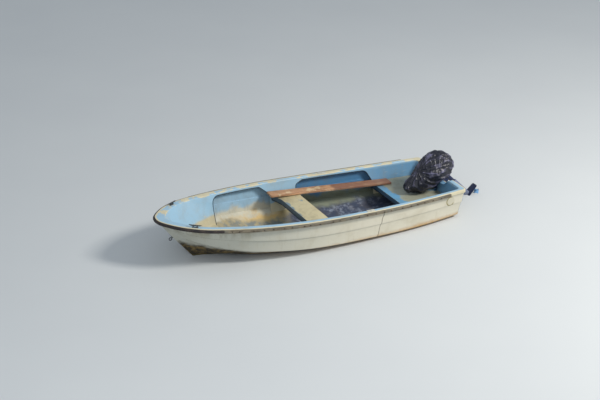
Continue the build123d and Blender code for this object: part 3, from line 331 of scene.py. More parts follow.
def mesh_object(name, points, faces, merge=1e-5):
    """Object of a mesh with its doubles merged and its normals turned outwards."""
    mesh = bpy.data.meshes.new(name)
    mesh.from_pydata(np.reshape(points, (-1, 3)).tolist(), [], faces)
    bm = bmesh.new()
    bm.from_mesh(mesh)
    if merge:
        bmesh.ops.remove_doubles(bm, verts=bm.verts, dist=merge)
    bmesh.ops.dissolve_degenerate(bm, dist=1e-6, edges=bm.edges)
    bmesh.ops.recalc_face_normals(bm, faces=bm.faces)
    bm.to_mesh(mesh)
    bm.free()
    return placed(name, mesh)


def grid_object(name, points, close_rows=False, close_columns=False):
    """Object of a grid of points of shape (rows, columns, 3)."""
    rows, columns = points.shape[:2]
    return mesh_object(name, points, grid_faces(rows, columns, close_rows, close_columns))


def smooth(obj, angle=32.0):
    """Smooth shading with the edges over the angle kept sharp."""
    bm = bmesh.new()
    bm.from_mesh(obj.data)
    limit = radians(angle)
    for edge in bm.edges:
        edge.smooth = not (len(edge.link_faces) == 2 and edge.calc_face_angle(0.0) > limit)
    for face in bm.faces:
        face.smooth = True
    bm.to_mesh(obj.data)
    bm.free()
    return obj


def bake(obj):
    """Applies an object's modifiers to its mesh."""
    graph = bpy.context.evaluated_depsgraph_get()
    mesh = bpy.data.meshes.new_from_object(obj.evaluated_get(graph))
    obj.modifiers.clear()
    obj.data = mesh
    return obj


def finish_piece(obj, body, material, slot, *nodes):
    """Gives a piece its material and its body, and hides the CAD nodes that it stands for; the slot is not used."""
    obj.data.materials.clear()
    obj.data.materials.append(material)
    if nodes:
        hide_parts(*nodes)
    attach(obj, body)
    return obj


def softened(node, width, segments=3):
    """Copy of a CAD node with its flat faces merged and its edges rounded by width."""
    bm = bmesh.new()
    bm.from_mesh(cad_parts[node].data)
    bmesh.ops.remove_doubles(bm, verts=bm.verts, dist=2e-5)
    bmesh.ops.dissolve_limit(bm, angle_limit=radians(0.6), verts=bm.verts, edges=bm.edges)
    obj = placed_mesh(node + "_finished", bm)
    bevel = obj.modifiers.new("bevel", "BEVEL")
    bevel.width, bevel.segments = width, segments
    bevel.limit_method, bevel.angle_limit = "ANGLE", radians(35.0)
    bevel.miter_outer = "MITER_ARC"
    return smooth(bake(obj), 38.0)


def section_rows(u, inset):
    """Corner rows of the port half of the hull's section at stations u, keel to top.

    Row i holds the points (x, y, z) with x = keel_x + rake (z - keel_z), and each plank's foot
    stands one lap outside the plank below it.
    """
    columns = np.array(HULL_TABLE).T
    keel_x, keel_z, bilge_y, bilge_z, chine_in, chine_z, lap_in, lap_z, lap = [
        spline(columns[0], column, u) for column in columns[1:]]
    sheer_y = half_breadth(GUNWALE, u) - HULL_INSIDE_GUNWALE
    top = sheer_z(u) - HULL_BELOW_SHEER
    rake = (u - keel_x) / (sheer_z(u) - keel_z)
    lap = np.maximum(lap, 0.001)
    half, deep = KEEL_HALF_WIDTH, KEEL_DEPTH
    outline = []
    if inset:
        outline += [(0 * u, keel_z + deep + inset), (half + 0 * u, keel_z + deep + inset)]
    else:
        outline += [(0 * u, keel_z), (half + 0 * u, keel_z), (half + 0.001 + 0 * u, keel_z + deep)]
    for y, z in ((bilge_y, bilge_z), (sheer_y - chine_in, chine_z), (sheer_y - lap_in, lap_z)):
        outline += [(y - lap - inset, z + inset), (y - inset, z + inset)]
    outline.append((sheer_y - inset, top))
    return [np.stack([keel_x + rake * (z - keel_z), y, z], -1) for y, z in outline]


def hull_half(u, inset):
    """Grid of the port half of one face of the hull, with the nose, shape (rows, stations, 3)."""
    rows = section_rows(u, inset)
    if inset:
        radii = [0, 0.010, 0, 0.003, 0, 0.003, 0, 0.003, 0]
        keel_splits = [2]
    else:
        radii = [0, 0.008, 0.006, 0, 0.004, 0, 0.005, 0, 0.003, 0]
        keel_splits = [2, 3]
    splits = keel_splits + [10, 1, 8, 1, 8, 1, 6, 1]
    cambers = [0] * len(keel_splits) + [-PLANK_CAMBER, 0] * 4
    body = rounded_rows(rows, radii, splits, False, cambers)
    start = body[:, -1]
    tangent = unit(body[:, -1] - body[:, -3])
    tip_z = start[:, 2] + 0.004
    slant = hypot(1.0, (STEM_X[3] - STEM_X[1]) / (STEM_Z[3] - STEM_Z[1]))
    tip = np.stack([np.interp(tip_z, STEM_Z, STEM_X) - inset * slant, 0 * tip_z, tip_z], 1)
    reach = np.linalg.norm(tip - start, axis=1)[:, None]
    near = start + tangent * reach * 0.42
    far = tip + np.stack([0 * tip_z, start[:, 1] * 0.62, 0 * tip_z], 1)
    nose = [(1 - t) ** 3 * start + 3 * t * (1 - t) ** 2 * near + 3 * t * t * (1 - t) * far + t ** 3 * tip
            for t in np.linspace(0, 1, NOSE_STATIONS + 1)[1:]]
    return np.concatenate([body, np.stack(nose, 1)], 1)


def both_sides(port):
    """Rows from the starboard top over the keel to the port top."""
    return np.concatenate([port[:0:-1] * [1, -1, 1], port])


def transom_plane(z, inset=0.0):
    """x of the transom's outer face at height z, moved forward by inset."""
    row = HULL_TABLE[0]
    return row[1] + (row[0] - row[1]) * (z - row[2]) / (sheer_z(row[0]) - row[2]) + inset


def rounded_stern(rows, stations, radius):
    """Draws the aftmost sections in along their normals, r - sqrt(r² - (r - d)²) at d from the end."""
    along = np.gradient(rows[..., 1:], axis=0)
    normal = unit(np.stack([along[..., 1], -along[..., 0]], -1))
    gone = np.clip(radius - (stations - stations[0]), 0, radius)
    shrink = radius - np.sqrt(radius ** 2 - gone ** 2)
    count = len(stations)
    result = rows.copy()
    result[:, :count, 1:] -= normal[:, :count] * shrink[None, :, None]
    return result


def make_hull():
    """Outside skin with its rim, inside skin and transom."""
    ease = STERN_ROUNDING * (1 - np.cos(np.linspace(0, pi / 2, 7)))
    u = np.concatenate([STERN + ease, np.linspace(STERN + 0.03, FORE_FRAME, STATIONS)])
    outside = rounded_stern(both_sides(hull_half(u, 0.0)), u, STERN_ROUNDING)
    inside = both_sides(hull_half(u, HULL_SKIN))
    skin = grid_object("hull_outside", np.concatenate([inside[:1], outside, inside[-1:]]))
    lining = grid_object("hull_inside", inside)
    port = outside[len(outside) // 2:, 0]
    shares = np.linspace(-1, 1, 81)
    top = sheer_z(STERN) - HULL_BELOW_SHEER
    plates = []
    for depth in (0.0, TRANSOM_SKIN):
        y = shares[None, :] * port[:, 1][:, None]
        z = np.repeat(port[:, 2][:, None], len(shares), 1)
        z = np.minimum(z, top - dip(STERN, y))
        plates.append(np.stack([transom_plane(z, depth), y, z], -1))
    plate = grid_object("transom_plate", np.concatenate([plates[0], plates[1][::-1]]), close_rows=True)
    return smooth(skin, 28.0), smooth(lining, 28.0), smooth(plate, 28.0)


def tube(name, path, radius, sides=6):
    """Round tube along a path: P(s, a) = path(s) + radius (cos a right(s) + sin a up(s))."""
    path = np.asarray(path, float)
    along = unit(np.gradient(path, axis=0))
    right = unit(np.cross(along, UP))
    up = np.cross(right, along)
    angle = np.linspace(0, 2 * pi, sides, endpoint=False)[None, :, None]
    outward = np.cos(angle) * right[:, None] + np.sin(angle) * up[:, None]
    ring = path[:, None] + np.reshape(radius, (-1, 1, 1)) * outward
    return smooth(grid_object(name, ring, close_columns=True), 80.0)


def lap_shadow_lines(name, inset, rows, fore, aft):
    """Dark tubes in the laps between the planks, both sides, as one mesh: painted shade under the lap steps; it thins
    out forward.
    """
    u = np.linspace(aft, fore, 120)
    radius = LAP_SHADOW_RADIUS * np.clip((fore - u) / 0.30, 0.10, 1.0)
    corners = section_rows(u, inset)
    lines = []
    for row in rows:
        for side in (1, -1):
            line = corners[row] * np.array([1, side, 1]) - np.array([0, 0, LAP_SHADOW_RADIUS * 0.6])
            lines.append(tube(f"{name}_{row}_{side}", line, radius))
    return joined(name, lines)


def joined(name, objects):
    """One object of several meshes."""
    bm = bmesh.new()
    for obj in objects:
        bm.from_mesh(obj.data)
        bpy.data.objects.remove(obj)
    return placed_mesh(name, bm)


def floor_height():
    """Heights of the hull's inside face over a regular grid of x and y, for fitting pieces to it."""
    u = np.linspace(STERN, FORE_FRAME, 200)
    rows = np.stack(section_rows(u, HULL_SKIN))
    ys = np.linspace(0.0, 0.70, 141)
    xs = np.linspace(STERN, FORE_FRAME, 391)
    on_station = np.zeros((len(u), len(ys), 2))
    for i, (x, y, z) in enumerate(rows.transpose(1, 2, 0)):
        rising = y + np.arange(len(y)) * 1e-6
        on_station[i] = np.stack([np.interp(ys, rising, x), np.interp(ys, rising, z)], 1)
    heights = np.stack([np.interp(xs, x, z) for x, z in on_station.transpose(1, 2, 0)], 1)
    return xs, ys, heights


FLOOR = floor_height()


def hull_inside_z(x, y):
    """Height of the hull's inside face under (x, y), by bilinear interpolation."""
    xs, ys, heights = FLOOR
    i = np.clip((x - xs[0]) / (xs[1] - xs[0]), 0, len(xs) - 1.001)
    j = np.clip(np.abs(y) / (ys[1] - ys[0]), 0, len(ys) - 1.001)
    a, b = i.astype(int), j.astype(int)
    s, t = i - a, j - b
    return ((1 - s) * (1 - t) * heights[a, b] + s * (1 - t) * heights[a + 1, b]
            + (1 - s) * t * heights[a, b + 1] + s * t * heights[a + 1, b + 1])


def wall_lines():
    """Top point, foot point and outward normal of each ruled line of the inner moulding's wall."""
    top_plan, top_normal = closed_plan(OPENING, WALL_CORNER)
    foot_plan, foot_normal = closed_plan(FOOT, WALL_CORNER)
    rise = (SHEER_BOW - SHEER_STERN) / (2 * SHEER_SPAN)
    lean = atan2(rise, 1.0)
    chord_z = (SHEER_BOW + SHEER_STERN) / 2 + OPENING_PLANE_RISE
    top = np.stack([top_plan[:, 0] * cos(lean), top_plan[:, 1], chord_z + top_plan[:, 0] * sin(lean)], 1)
    return top, in_space(foot_plan), in_space(unit(top_normal + foot_normal))


def make_inner_moulding():
    """Gunwale with its turned-down lip and the walls, cut by the side pockets.

    Each wall point is top + t (foot - top), from the sheer down to the hull's inside face.
    """
    gunwale, gunwale_normal = closed_plan(GUNWALE, GUNWALE_CORNER)
    high, foot, wall_normal = wall_lines()
    t = np.linspace(-0.1, 1.4, 301)
    line = high[:, None] + (foot - high)[:, None] * t[None, :, None]
    above = line[..., 2] - (sheer_z(line[..., 0]) - dip(line[..., 0], line[..., 1]))
    t_top = np.array([np.interp(0, -row, t) for row in above])
    clear = line[..., 2] - hull_inside_z(line[..., 0], line[..., 1])
    lap = np.where(high[:, :1] > FOOT_LIFT_STATION, FOOT_LIFT, -FOOT_SINK)
    t_foot = np.array([t[np.argmax(row)] if row.any() else 1.0 for row in clear < lap])
    wall_top = high + (foot - high) * t_top[:, None]
    wall_foot = high + (foot - high) * np.maximum(t_foot, t_top + 0.02)[:, None]

    def at_gunwale(inset, depth):
        xy = gunwale - gunwale_normal * inset
        z = sheer_z(xy[:, 0]) - dip(xy[:, 0] + 0.03, xy[:, 1]) - depth
        return np.stack([xy[:, 0], xy[:, 1], z], 1)

    skin = MOULDING_SKIN
    middle = (at_gunwale(0.0, 0.0) + wall_top) / 2 + UP * FLANGE_CROWN
    rows = [
        at_gunwale(0.0, LIP_DEPTH), at_gunwale(0.0, 0.0), middle, wall_top, wall_foot,
        wall_foot + wall_normal * skin, wall_top + wall_normal * skin - UP * skin,
        at_gunwale(skin, skin), at_gunwale(skin, LIP_DEPTH),
    ]
    radii = [0.002, GUNWALE_EDGE_RADIUS, 0.020, WALL_EDGE_RADIUS, 0, 0, 0, 0, 0.002]
    splits = [3, 3, 3, 26, 1, 26, 2, 2, 1]
    surface = rounded_rows(rows, radii, splits, True)
    moulding = grid_object("inner_moulding_walls", surface, close_rows=True, close_columns=True)
    cutters = [pocket_cutter(bay) for bay in (FORE_BAY, AFT_BAY)]
    for cutter in cutters:
        pocket = moulding.modifiers.new("pocket", "BOOLEAN")
        pocket.object, pocket.solver = cutter, "EXACT"
    bake(moulding)
    for cutter in cutters:
        bpy.data.objects.remove(cutter)
    return smooth(moulding, 30.0)


def mark_inward(obj):
    """Stores how far each point p lies inside the gunwale's outline, as the attribute "inward".

    That is R - |p - c| for the arc whose sector holds p, or the distance to the transom if less.
    """
    points = mesh_points(obj)
    x, y = points[:, 0], np.abs(points[:, 1])
    inward = x - GUNWALE[2]
    for centre_x, centre_y, radius, start, end in plan_arcs(GUNWALE):
        angle = np.arctan2(y - centre_y, x - centre_x)
        to_side = radius - np.hypot(x - centre_x, y - centre_y)
        held = (angle >= start) & (angle <= end)
        inward = np.where(held, np.minimum(to_side, inward), inward)
    obj.data.attributes.new("inward", "FLOAT", "POINT").data.foreach_set("value", inward)


def rounded_outline(corners, segments=10):
    """Points of a closed (x, z) outline with circular corners."""
    points = []
    count = len(corners)
    for i, (x, z, radius) in enumerate(corners):
        here = np.array([x, z])
        if not radius:
            points.append(here)
            continue
        back = unit(np.array(corners[i - 1][:2]) - here)
        on = unit(np.array(corners[(i + 1) % count][:2]) - here)
        half = np.arccos(np.clip(back @ on, -1, 1)) / 2
        reach = radius / np.tan(half)
        centre = here + unit(back + on) * radius / sin(half)
        start, end = here + back * reach - centre, here + on * reach - centre
        a, b = atan2(start[1], start[0]), atan2(end[1], end[0])
        turn = (b - a + pi) % (2 * pi) - pi
        for s in np.linspace(0, 1, segments):
            points.append(centre + radius * np.array([cos(a + s * turn), sin(a + s * turn)]))
    return np.array(points)


def pocket_cutter(corners):
    """Prism across the boat through a side pocket's outline."""
    outline = rounded_outline(corners)
    count = len(outline)
    points = np.concatenate([np.insert(outline, 1, y, axis=1) for y in (-1.0, 1.0)])
    sides = [(i, (i + 1) % count, count + (i + 1) % count, count + i) for i in range(count)]
    faces = sides + [list(range(count)), list(range(count, 2 * count))]
    return mesh_object("cutter", points, faces)


def bow_path(aft):
    """Points and outward normals of the gunwale round the bow, up to a station on each side."""
    points, normals = closed_plan(GUNWALE, GUNWALE_CORNER)
    fore = slice(0, np.argmax(points[:, 0] < aft))
    points = np.concatenate([points[fore], [[aft, half_breadth(GUNWALE, aft)]]])
    normals = np.concatenate([normals[fore], normals[fore][-1:]])
    return [np.concatenate([vectors[:0:-1] * [1, -1], vectors]) for vectors in (points, normals)]


def side_path(fore, aft, count):
    """Points and outward normals of the gunwale along its port side between two stations."""
    x = np.linspace(fore, aft, count)
    points = np.stack([x, half_breadth(GUNWALE, x)], 1)
    slope = np.gradient(points, axis=0)
    return points, unit(np.stack([-slope[:, 1], slope[:, 0]], 1) * np.sign(slope[:, :1]))


def swept_rail(name, path, section, side=1, wear=0.0, seed=1):
    """Rail along the gunwale: P(s, a) = path(s) + out(a) normal(s) + up(a) z, capped at its ends."""
    points, normals = path
    out, up = section[:, 0], section[:, 1]
    base = np.stack([points[:, 0], points[:, 1], sheer_z(points[:, 0])], 1)
    outward = in_space(normals)[:, None]
    surface = base[:, None] + out[None, :, None] * outward + up[None, :, None] * UP
    if wear:
        rough = waves(surface, 0.06, seed) * 0.5 + waves(surface * [0.3, 1, 1], 0.02, seed + 1) * 0.5
        away = outward * np.clip(out / RAIL_THICKNESS, 0, 1)[None, :, None]
        surface = surface - away * np.clip(rough, 0, 1)[..., None] * wear
    ends = surface.mean(1, keepdims=True) + 0 * surface
    surface = np.concatenate([ends[:1], surface, ends[-1:]]) * [1, side, 1]
    return smooth(grid_object(name, surface, close_columns=True), 50.0)


def rail_section():
    """Rounded rectangle in (out, up) that stands on the gunwale's edge."""
    low, high = -RAIL_DROP - RAIL_HEIGHT, -RAIL_DROP
    return rounded_outline([(RAIL_BEDDING, low, 0.001), (RAIL_THICKNESS, low, RAIL_RADIUS),
                            (RAIL_THICKNESS, high, RAIL_RADIUS), (RAIL_BEDDING, high, 0.001)], 4)


def fender_section():
    """D-shaped rubber section: flat on the lip and round outside."""
    angles = np.linspace(-pi / 2, pi / 2, 17)
    middle = -RAIL_DROP - RAIL_HEIGHT / 2
    out = 0.004 + (RAIL_THICKNESS - 0.004) * np.cos(angles) ** 0.7
    up = middle + RAIL_HEIGHT / 2 * np.sin(angles)
    back = [[RAIL_BEDDING, middle + RAIL_HEIGHT / 2], [RAIL_BEDDING, middle - RAIL_HEIGHT / 2]]
    return np.concatenate([np.stack([out, up], 1), back])


def domes(name, centres, outward):
    """One mesh of many screw heads: low domes that face one way."""
    x = unit(np.cross(outward, UP))
    y = np.cross(outward, x)
    ring = np.linspace(0, 2 * pi, 8, endpoint=False)[:, None]
    around = np.cos(ring) * x + np.sin(ring) * y
    dome = np.concatenate([SCREW_RADIUS * share * around + SCREW_HEIGHT * lift * outward
                           for share, lift in ((1.0, -0.5), (1.0, 0.3), (0.6, 0.85), (0.0, 1.0))])[:25]
    points = centres[:, None] + dome
    faces = []
    for start in range(0, 25 * len(centres), 25):
        for i in range(8):
            j = (i + 1) % 8
            faces += [(start + i, start + j, start + 8 + j, start + 8 + i),
                      (start + 8 + i, start + 8 + j, start + 16 + j, start + 16 + i),
                      (start + 16 + i, start + 16 + j, start + 24)]
    return smooth(mesh_object(name, points, faces, merge=0), 50.0)


def rail_screws(side):
    """Screw heads along the rail, not quite evenly spaced."""
    random = np.random.default_rng(11 + side)
    stations = np.arange(FENDER_END - 0.07, RAIL_END + 0.03, -SCREW_SPACING)
    stations = stations + random.uniform(-0.03, 0.03, len(stations))
    y = half_breadth(GUNWALE, stations) + RAIL_THICKNESS
    z = sheer_z(stations) - RAIL_DROP - RAIL_HEIGHT / 2
    name = "rail_screws_" + ("port" if side > 0 else "starboard")
    return domes(name, np.stack([stations, y * side, z], 1), np.array([0.0, side, 0.0]))


def tilted_point(aft, up):
    """Point of the motor's upright middle plane, turned to the stowed angle about the pin."""
    a = radians(TILT_ANGLE)
    return np.array([TILT_PIN[0] - aft * cos(a) + up * sin(a), 0.0, TILT_PIN[2] + aft * sin(a) + up * cos(a)])


def sack_form(shrink):
    """Outer form of the sack: chains of balls, merged into one skin and relaxed."""
    bm = bmesh.new()
    for chain in SACK_CHAINS:
        columns = np.array(chain).T
        steps = np.linspace(0, len(chain) - 1, 4 * len(chain) - 3)
        for x, y, z, radius in zip(*[np.interp(steps, range(len(chain)), column) for column in columns]):
            made = bmesh.ops.create_icosphere(bm, subdivisions=3, radius=radius - shrink)
            bmesh.ops.translate(bm, verts=made["verts"], vec=(x, y, z))
    obj = placed_mesh("sack_form", bm)
    remesh = obj.modifiers.new("remesh", "REMESH")
    remesh.mode, remesh.voxel_size = "VOXEL", SACK_VOXEL
    relax = obj.modifiers.new("relax", "SMOOTH")
    relax.factor, relax.iterations = 0.5, 10
    return bake(obj)


def mesh_points(obj, key="co"):
    """Vertex positions of an object's mesh, or its vertex normals by the key "normal", shape (n, 3)."""
    values = np.empty(3 * len(obj.data.vertices))
    obj.data.vertices.foreach_get(key, values)
    return values.reshape(-1, 3)


def set_points(obj, points):
    """Moves the vertices of an object's mesh."""
    obj.data.vertices.foreach_set("co", np.ascontiguousarray(points).ravel())
    obj.data.update()


def gathered_folds(points):
    """Depth of the folds that fan out from the gather, 0 on a crest and 1 in a valley.

    With the angle a about the gather's axis and the distance r from it, a fold is
    |sin(n a / 2 + drift(r))| ^ 0.8, for three counts n whose shares change over the surface.
    """
    gather = np.array(SACK_GATHER)
    axis = unit(np.array(SACK_CHAINS[0][1][:3]) - gather)
    right = unit(np.cross(axis, UP))
    up = np.cross(right, axis)
    away = points - gather
    angle = np.arctan2(away @ up, away @ right)
    distance = np.linalg.norm(away, axis=1)
    depth = 0
    for seed, (count, share) in enumerate(((12, 0.5), (22, 0.3), (36, 0.2))):
        drift = 0.9 * waves(points, 0.28, 40 + seed) + 2.0 * distance * seed
        strength = 0.7 + 0.4 * waves(points, 0.16, 50 + seed)
        depth = depth + share * strength * np.abs(np.sin(count * angle / 2 + drift)) ** 0.8
    return np.clip(depth, 0, 1)


def creases(points, length, seed):
    """Sharp-edged facets: |n|, which has its ridges where smooth noise n is 0."""
    return np.minimum(np.abs(waves(points, length, seed, 6)) * 1.6, 1.0)


def make_sack():
    """Sack over the motor: its folds are seeded, then it settles as cloth on a smaller form.

    The cloth is cut SACK_SLACK wider than its form, so it buckles into folds and sags.
    """
    sack = sack_form(-SACK_OUTSIDE)
    sack.name = "motor_sack"
    rim = open_mouth(sack)
    points, normals = mesh_points(sack), mesh_points(sack, "normal")
    folds = gathered_folds(points)
    set_points(sack, points - normals * (FOLD_DEPTH * folds)[:, None])
    settle(sack, rim)
    points, normals = mesh_points(sack), mesh_points(sack, "normal")
    fine = 0.6 * creases(points, 0.085, 61) + 0.4 * creases(points, 0.048, 62)
    set_points(sack, points - normals * (CREASE_DEPTH * fine)[:, None])
    for node in ("powerhead", "tiller"):
        keep_off(sack, node, SACK_OFF_MOTOR)
    # The fold depth is stored for the painted sheen on the crests
    shade = sack.data.attributes.new("fold", "FLOAT", "POINT")
    shade.data.foreach_set("value", 0.85 * folds + 0.15 * fine)
    thick = sack.modifiers.new("thickness", "SOLIDIFY")
    thick.thickness, thick.offset = SACK_FILM, -1.0
    return smooth(bake(sack), 180.0)


def open_mouth(sack):
    """Cuts the sack off at its hem, and higher between its sides, where the bracket is.

    Returns the numbers of the points on the rim.
    """
    mouth = tilted_point(*SACK_MOUTH)
    down = tilted_point(SACK_MOUTH[0], SACK_MOUTH[1] - 1) - mouth
    bm = bmesh.new()
    bm.from_mesh(sack.data)
    for point, outward in ((mouth + down * SACK_HEM, down), (mouth + down * SACK_NOTCH, down),
                           ((0, SACK_NOTCH_WIDTH, 0), (0, 1, 0)), ((0, -SACK_NOTCH_WIDTH, 0), (0, 1, 0))):
        everything = bm.verts[:] + bm.edges[:] + bm.faces[:]
        bmesh.ops.bisect_plane(bm, geom=everything, plane_co=point, plane_no=outward)
    gone = []
    for face in bm.faces:
        centre = np.array(face.calc_center_median())
        below = (centre - mouth) @ down
        if below > SACK_HEM or below > SACK_NOTCH and abs(centre[1]) < SACK_NOTCH_WIDTH:
            gone.append(face)
    bmesh.ops.delete(bm, geom=gone, context="FACES")
    bm.verts.index_update()
    rim = [vert.index for vert in bm.verts if vert.is_boundary]
    bm.to_mesh(sack.data)
    bm.free()
    return rim


def keep_off(obj, node, gap, reach=0.03):
    """Moves points that are nearer than gap to a node, or inside it, out to that distance.

    A point that would have to go farther than reach stays where it is.
    """
    start = mesh_points(obj)
    wrap = obj.modifiers.new("keep_off", "SHRINKWRAP")
    wrap.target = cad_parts[node]
    wrap.wrap_method, wrap.wrap_mode, wrap.offset = "NEAREST_SURFACEPOINT", "OUTSIDE", gap
    moved = mesh_points(bake(obj)) - start
    near = np.linalg.norm(moved, axis=1, keepdims=True) < reach
    set_points(obj, start + moved * near)


def settle(sack, rim):
    """Cloth that grows by SACK_SLACK and hangs on the form inside it, held at its rim."""
    body = sack_form(SACK_INSIDE)
    body.modifiers.new("collision", "COLLISION")
    body.collision.thickness_outer = 0.003
    body.collision.cloth_friction = 15.0
    start = mesh_points(sack)
    held = sack.vertex_groups.new(name="held")
    held.add(rim, 1.0, "REPLACE")
    cloth = sack.modifiers.new("cloth", "CLOTH")
    for key, value in {"quality": 5, "mass": 0.06, "tension_stiffness": 18.0, "compression_stiffness": 18.0,
                       "shear_stiffness": 6.0, "bending_stiffness": 0.25, "air_damping": 2.0,
                       "shrink_min": -SACK_SLACK, "shrink_max": -SACK_SLACK, "vertex_group_mass": "held"}.items():
        setattr(cloth.settings, key, value)
    cloth.collision_settings.distance_min = 0.003
    cloth.collision_settings.use_self_collision = False
    cloth.point_cache.frame_start, cloth.point_cache.frame_end = 1, SACK_FRAMES
    scene = bpy.context.scene
    for number in range(1, SACK_FRAMES + 1):
        scene.frame_set(number)
    bake(sack)
    scene.frame_set(1)
    bpy.data.objects.remove(body)
    moved = mesh_points(sack) - start
    length = np.linalg.norm(moved, axis=1, keepdims=True)
    set_points(sack, start + moved * np.minimum(1.0, SACK_REACH / (length + 1e-9)))


def srgb(red, green, blue):
    """Linear colour of an sRGB one given in 0..255."""
    linear = [(c / 255 / 12.92) if c / 255 <= 0.04045 else ((c / 255 + 0.055) / 1.055) ** 2.4
              for c in (red, green, blue)]
    return (*linear, 1.0)


class Value:
    """A node's output in a tree: +, -, * and abs() add a Math node and give its output."""

    def __init__(self, tree, socket):
        self.tree, self.socket = tree, socket

    def __add__(self, other):
        return self.tree.math("ADD", self, other)

    def __radd__(self, other):
        return self.tree.math("ADD", other, self)

    def __sub__(self, other):
        return self.tree.math("SUBTRACT", self, other)

    def __rsub__(self, other):
        return self.tree.math("SUBTRACT", other, self)

    def __mul__(self, other):
        return self.tree.math("MULTIPLY", self, other)

    def __rmul__(self, other):
        return self.tree.math("MULTIPLY", other, self)

    def __abs__(self):
        return self.tree.math("ABSOLUTE", self)


class Tree:
    """Short calls that add nodes to a node tree and give their outputs."""

    def __init__(self, tree):
        self.tree = tree

    def outputs(self, node):
        """A node's outputs by number and by name."""
        return {key: Value(self, socket) for i, socket in enumerate(node.outputs) for key in (i, socket.name)}

    def put(self, given, socket):
        """Links an output to an input socket, or sets the socket."""
        if isinstance(given, Value):
            self.tree.links.new(given.socket, socket)
        else:
            socket.default_value = given

    def add(self, kind, inputs=None, **settings):
        node = self.tree.nodes.new(kind)
        for key, value in settings.items():
            setattr(node, key, value)
        for key, value in (inputs or {}).items():
            self.put(value, node.inputs[key])
        return self.outputs(node)

    def math(self, operation, a, b=0.0, clamp=False):
        return self.add("ShaderNodeMath", {0: a, 1: b}, operation=operation, use_clamp=clamp)[0]

    def mix(self, share, a, b):
        """Colour a where share is 0, and b where it is 1."""
        return self.add("ShaderNodeMix", {0: share, 6: a, 7: b}, data_type="RGBA")[2]

    def ramp(self, value, low, high, reverse=False):
        """0 at low to 1 at high, smoothly, or the other way round."""
        ends = (1.0, 0.0) if reverse else (0.0, 1.0)
        return self.add("ShaderNodeMapRange", {0: value, 1: low, 2: high, 3: ends[0], 4: ends[1]},
                        interpolation_type="SMOOTHSTEP")[0]

    def place(self):
        return self.add("ShaderNodeTexCoord")["Object"]

    def axes(self, vector):
        parts = self.add("ShaderNodeSeparateXYZ", {0: vector})
        return parts["X"], parts["Y"], parts["Z"]

    def attribute(self, name):
        return self.add("ShaderNodeAttribute", attribute_name=name)["Fac"]

    def stretched(self, vector, scale, turn=(0.0, 0.0, 0.0)):
        return self.add("ShaderNodeMapping", {"Vector": vector, "Scale": scale, "Rotation": turn})[0]

    def noise(self, vector, scale, detail=4.0, rough=0.55, distortion=0.0):
        return self.add("ShaderNodeTexNoise", {"Vector": vector, "Scale": scale, "Detail": detail,
                                               "Roughness": rough, "Distortion": distortion})[0]

    def patches(self, vector, scale, detail, rough, low, high):
        """Noise cut to patches: 0 below low and 1 above high."""
        return self.ramp(self.noise(vector, scale, detail, rough), low, high)

    def facing_up(self):
        """Upward share of the surface's direction, in the object's frame."""
        return self.axes(self.add("ShaderNodeTexCoord")["Normal"])[2]

    def bump(self, height, strength, distance):
        return self.add("ShaderNodeBump", {"Height": height, "Strength": strength, "Distance": distance})[0]

    def group(self, group, **inputs):
        """Group node's outputs, with its inputs set by the group's own names."""
        return self.add("ShaderNodeGroup", inputs, node_tree=group)


def new_group(name, inputs):
    """Shader node group with named inputs, its tree, and what it is given."""
    group = bpy.data.node_groups.new(name, "ShaderNodeTree")
    for socket, kind in inputs:
        group.interface.new_socket(socket, in_out="INPUT", socket_type=kind)
    for socket, kind in (("Color", COLOUR), ("Mask", FLOAT)):
        group.interface.new_socket(socket, in_out="OUTPUT", socket_type=kind)
    t = Tree(group)
    return group, t, t.outputs(group.nodes.new("NodeGroupInput"))


def end_group(group, t, color, mask):
    """Gives a group's colour and mask out."""
    result = group.nodes.new("NodeGroupOutput")
    t.put(color, result.inputs["Color"])
    t.put(mask, result.inputs["Mask"])
    return group


def wear_group():
    """Paint or gelcoat worn through in ragged patches.

    Patches are large noise plus fine noise, cut at a level; the level is lowered by Amount, so
    that more of the layer below shows.
    """
    group, t, given = new_group("Worn layer", (("Above", COLOUR), ("Below", COLOUR), ("Amount", FLOAT),
                                               ("Scale", FLOAT)))
    place = t.place()
    large = t.noise(place, given["Scale"], 3.0, 0.6)
    fine = t.noise(place, given["Scale"] * 9.0, 5.0, 0.7)
    cut = 0.78 - given["Amount"] * 0.56
    mask = t.ramp(large * 0.72 + fine * 0.28 - cut, -0.02, 0.03)
    return end_group(group, t, t.mix(mask, given["Above"], given["Below"]), mask)


def grime_group():
    """Dirt: faint cloudy film, runs stretched downwards and small specks."""
    group, t, given = new_group("Grime", (("Color", COLOUR), ("Dirt", COLOUR), ("Amount", FLOAT)))
    place = t.place()
    cloud = t.ramp(t.noise(place, 3.2, 6.0, 0.65, 0.4), 0.42, 0.75)
    runs = t.patches(t.stretched(place, (26.0, 26.0, 2.2)), 1.0, 4.0, 0.6, 0.56, 0.80)
    specks = t.patches(place, 95.0, 2.0, 0.5, 0.70, 0.76)
    dirt = cloud * 0.55 + runs * 0.45 + specks * 0.5
    mask = t.math("MULTIPLY", dirt, given["Amount"], True)
    return end_group(group, t, t.mix(mask, given["Color"], given["Dirt"]), mask)


WEAR = wear_group()
GRIME = grime_group()


def new_material(name):
    """Material, its tree helper and its Object coordinates."""
    material = bpy.data.materials.new(name)
    material.use_nodes = True
    t = Tree(material.node_tree)
    return material, t, t.place()


def shaded(material, t, color, roughness, normal=None, metallic=0.0, coat=0.0, coat_rough=0.1, specular=0.5):
    """The material, with its shader's main sockets linked or set."""
    sockets = material.node_tree.nodes["Principled BSDF"].inputs
    for key, value in (("Base Color", color), ("Roughness", roughness), ("Metallic", metallic),
                       ("Coat Weight", coat), ("Coat Roughness", coat_rough), ("Specular IOR Level", specular)):
        t.put(value, sockets[key])
    if normal:
        t.put(normal, sockets["Normal"])
    return material


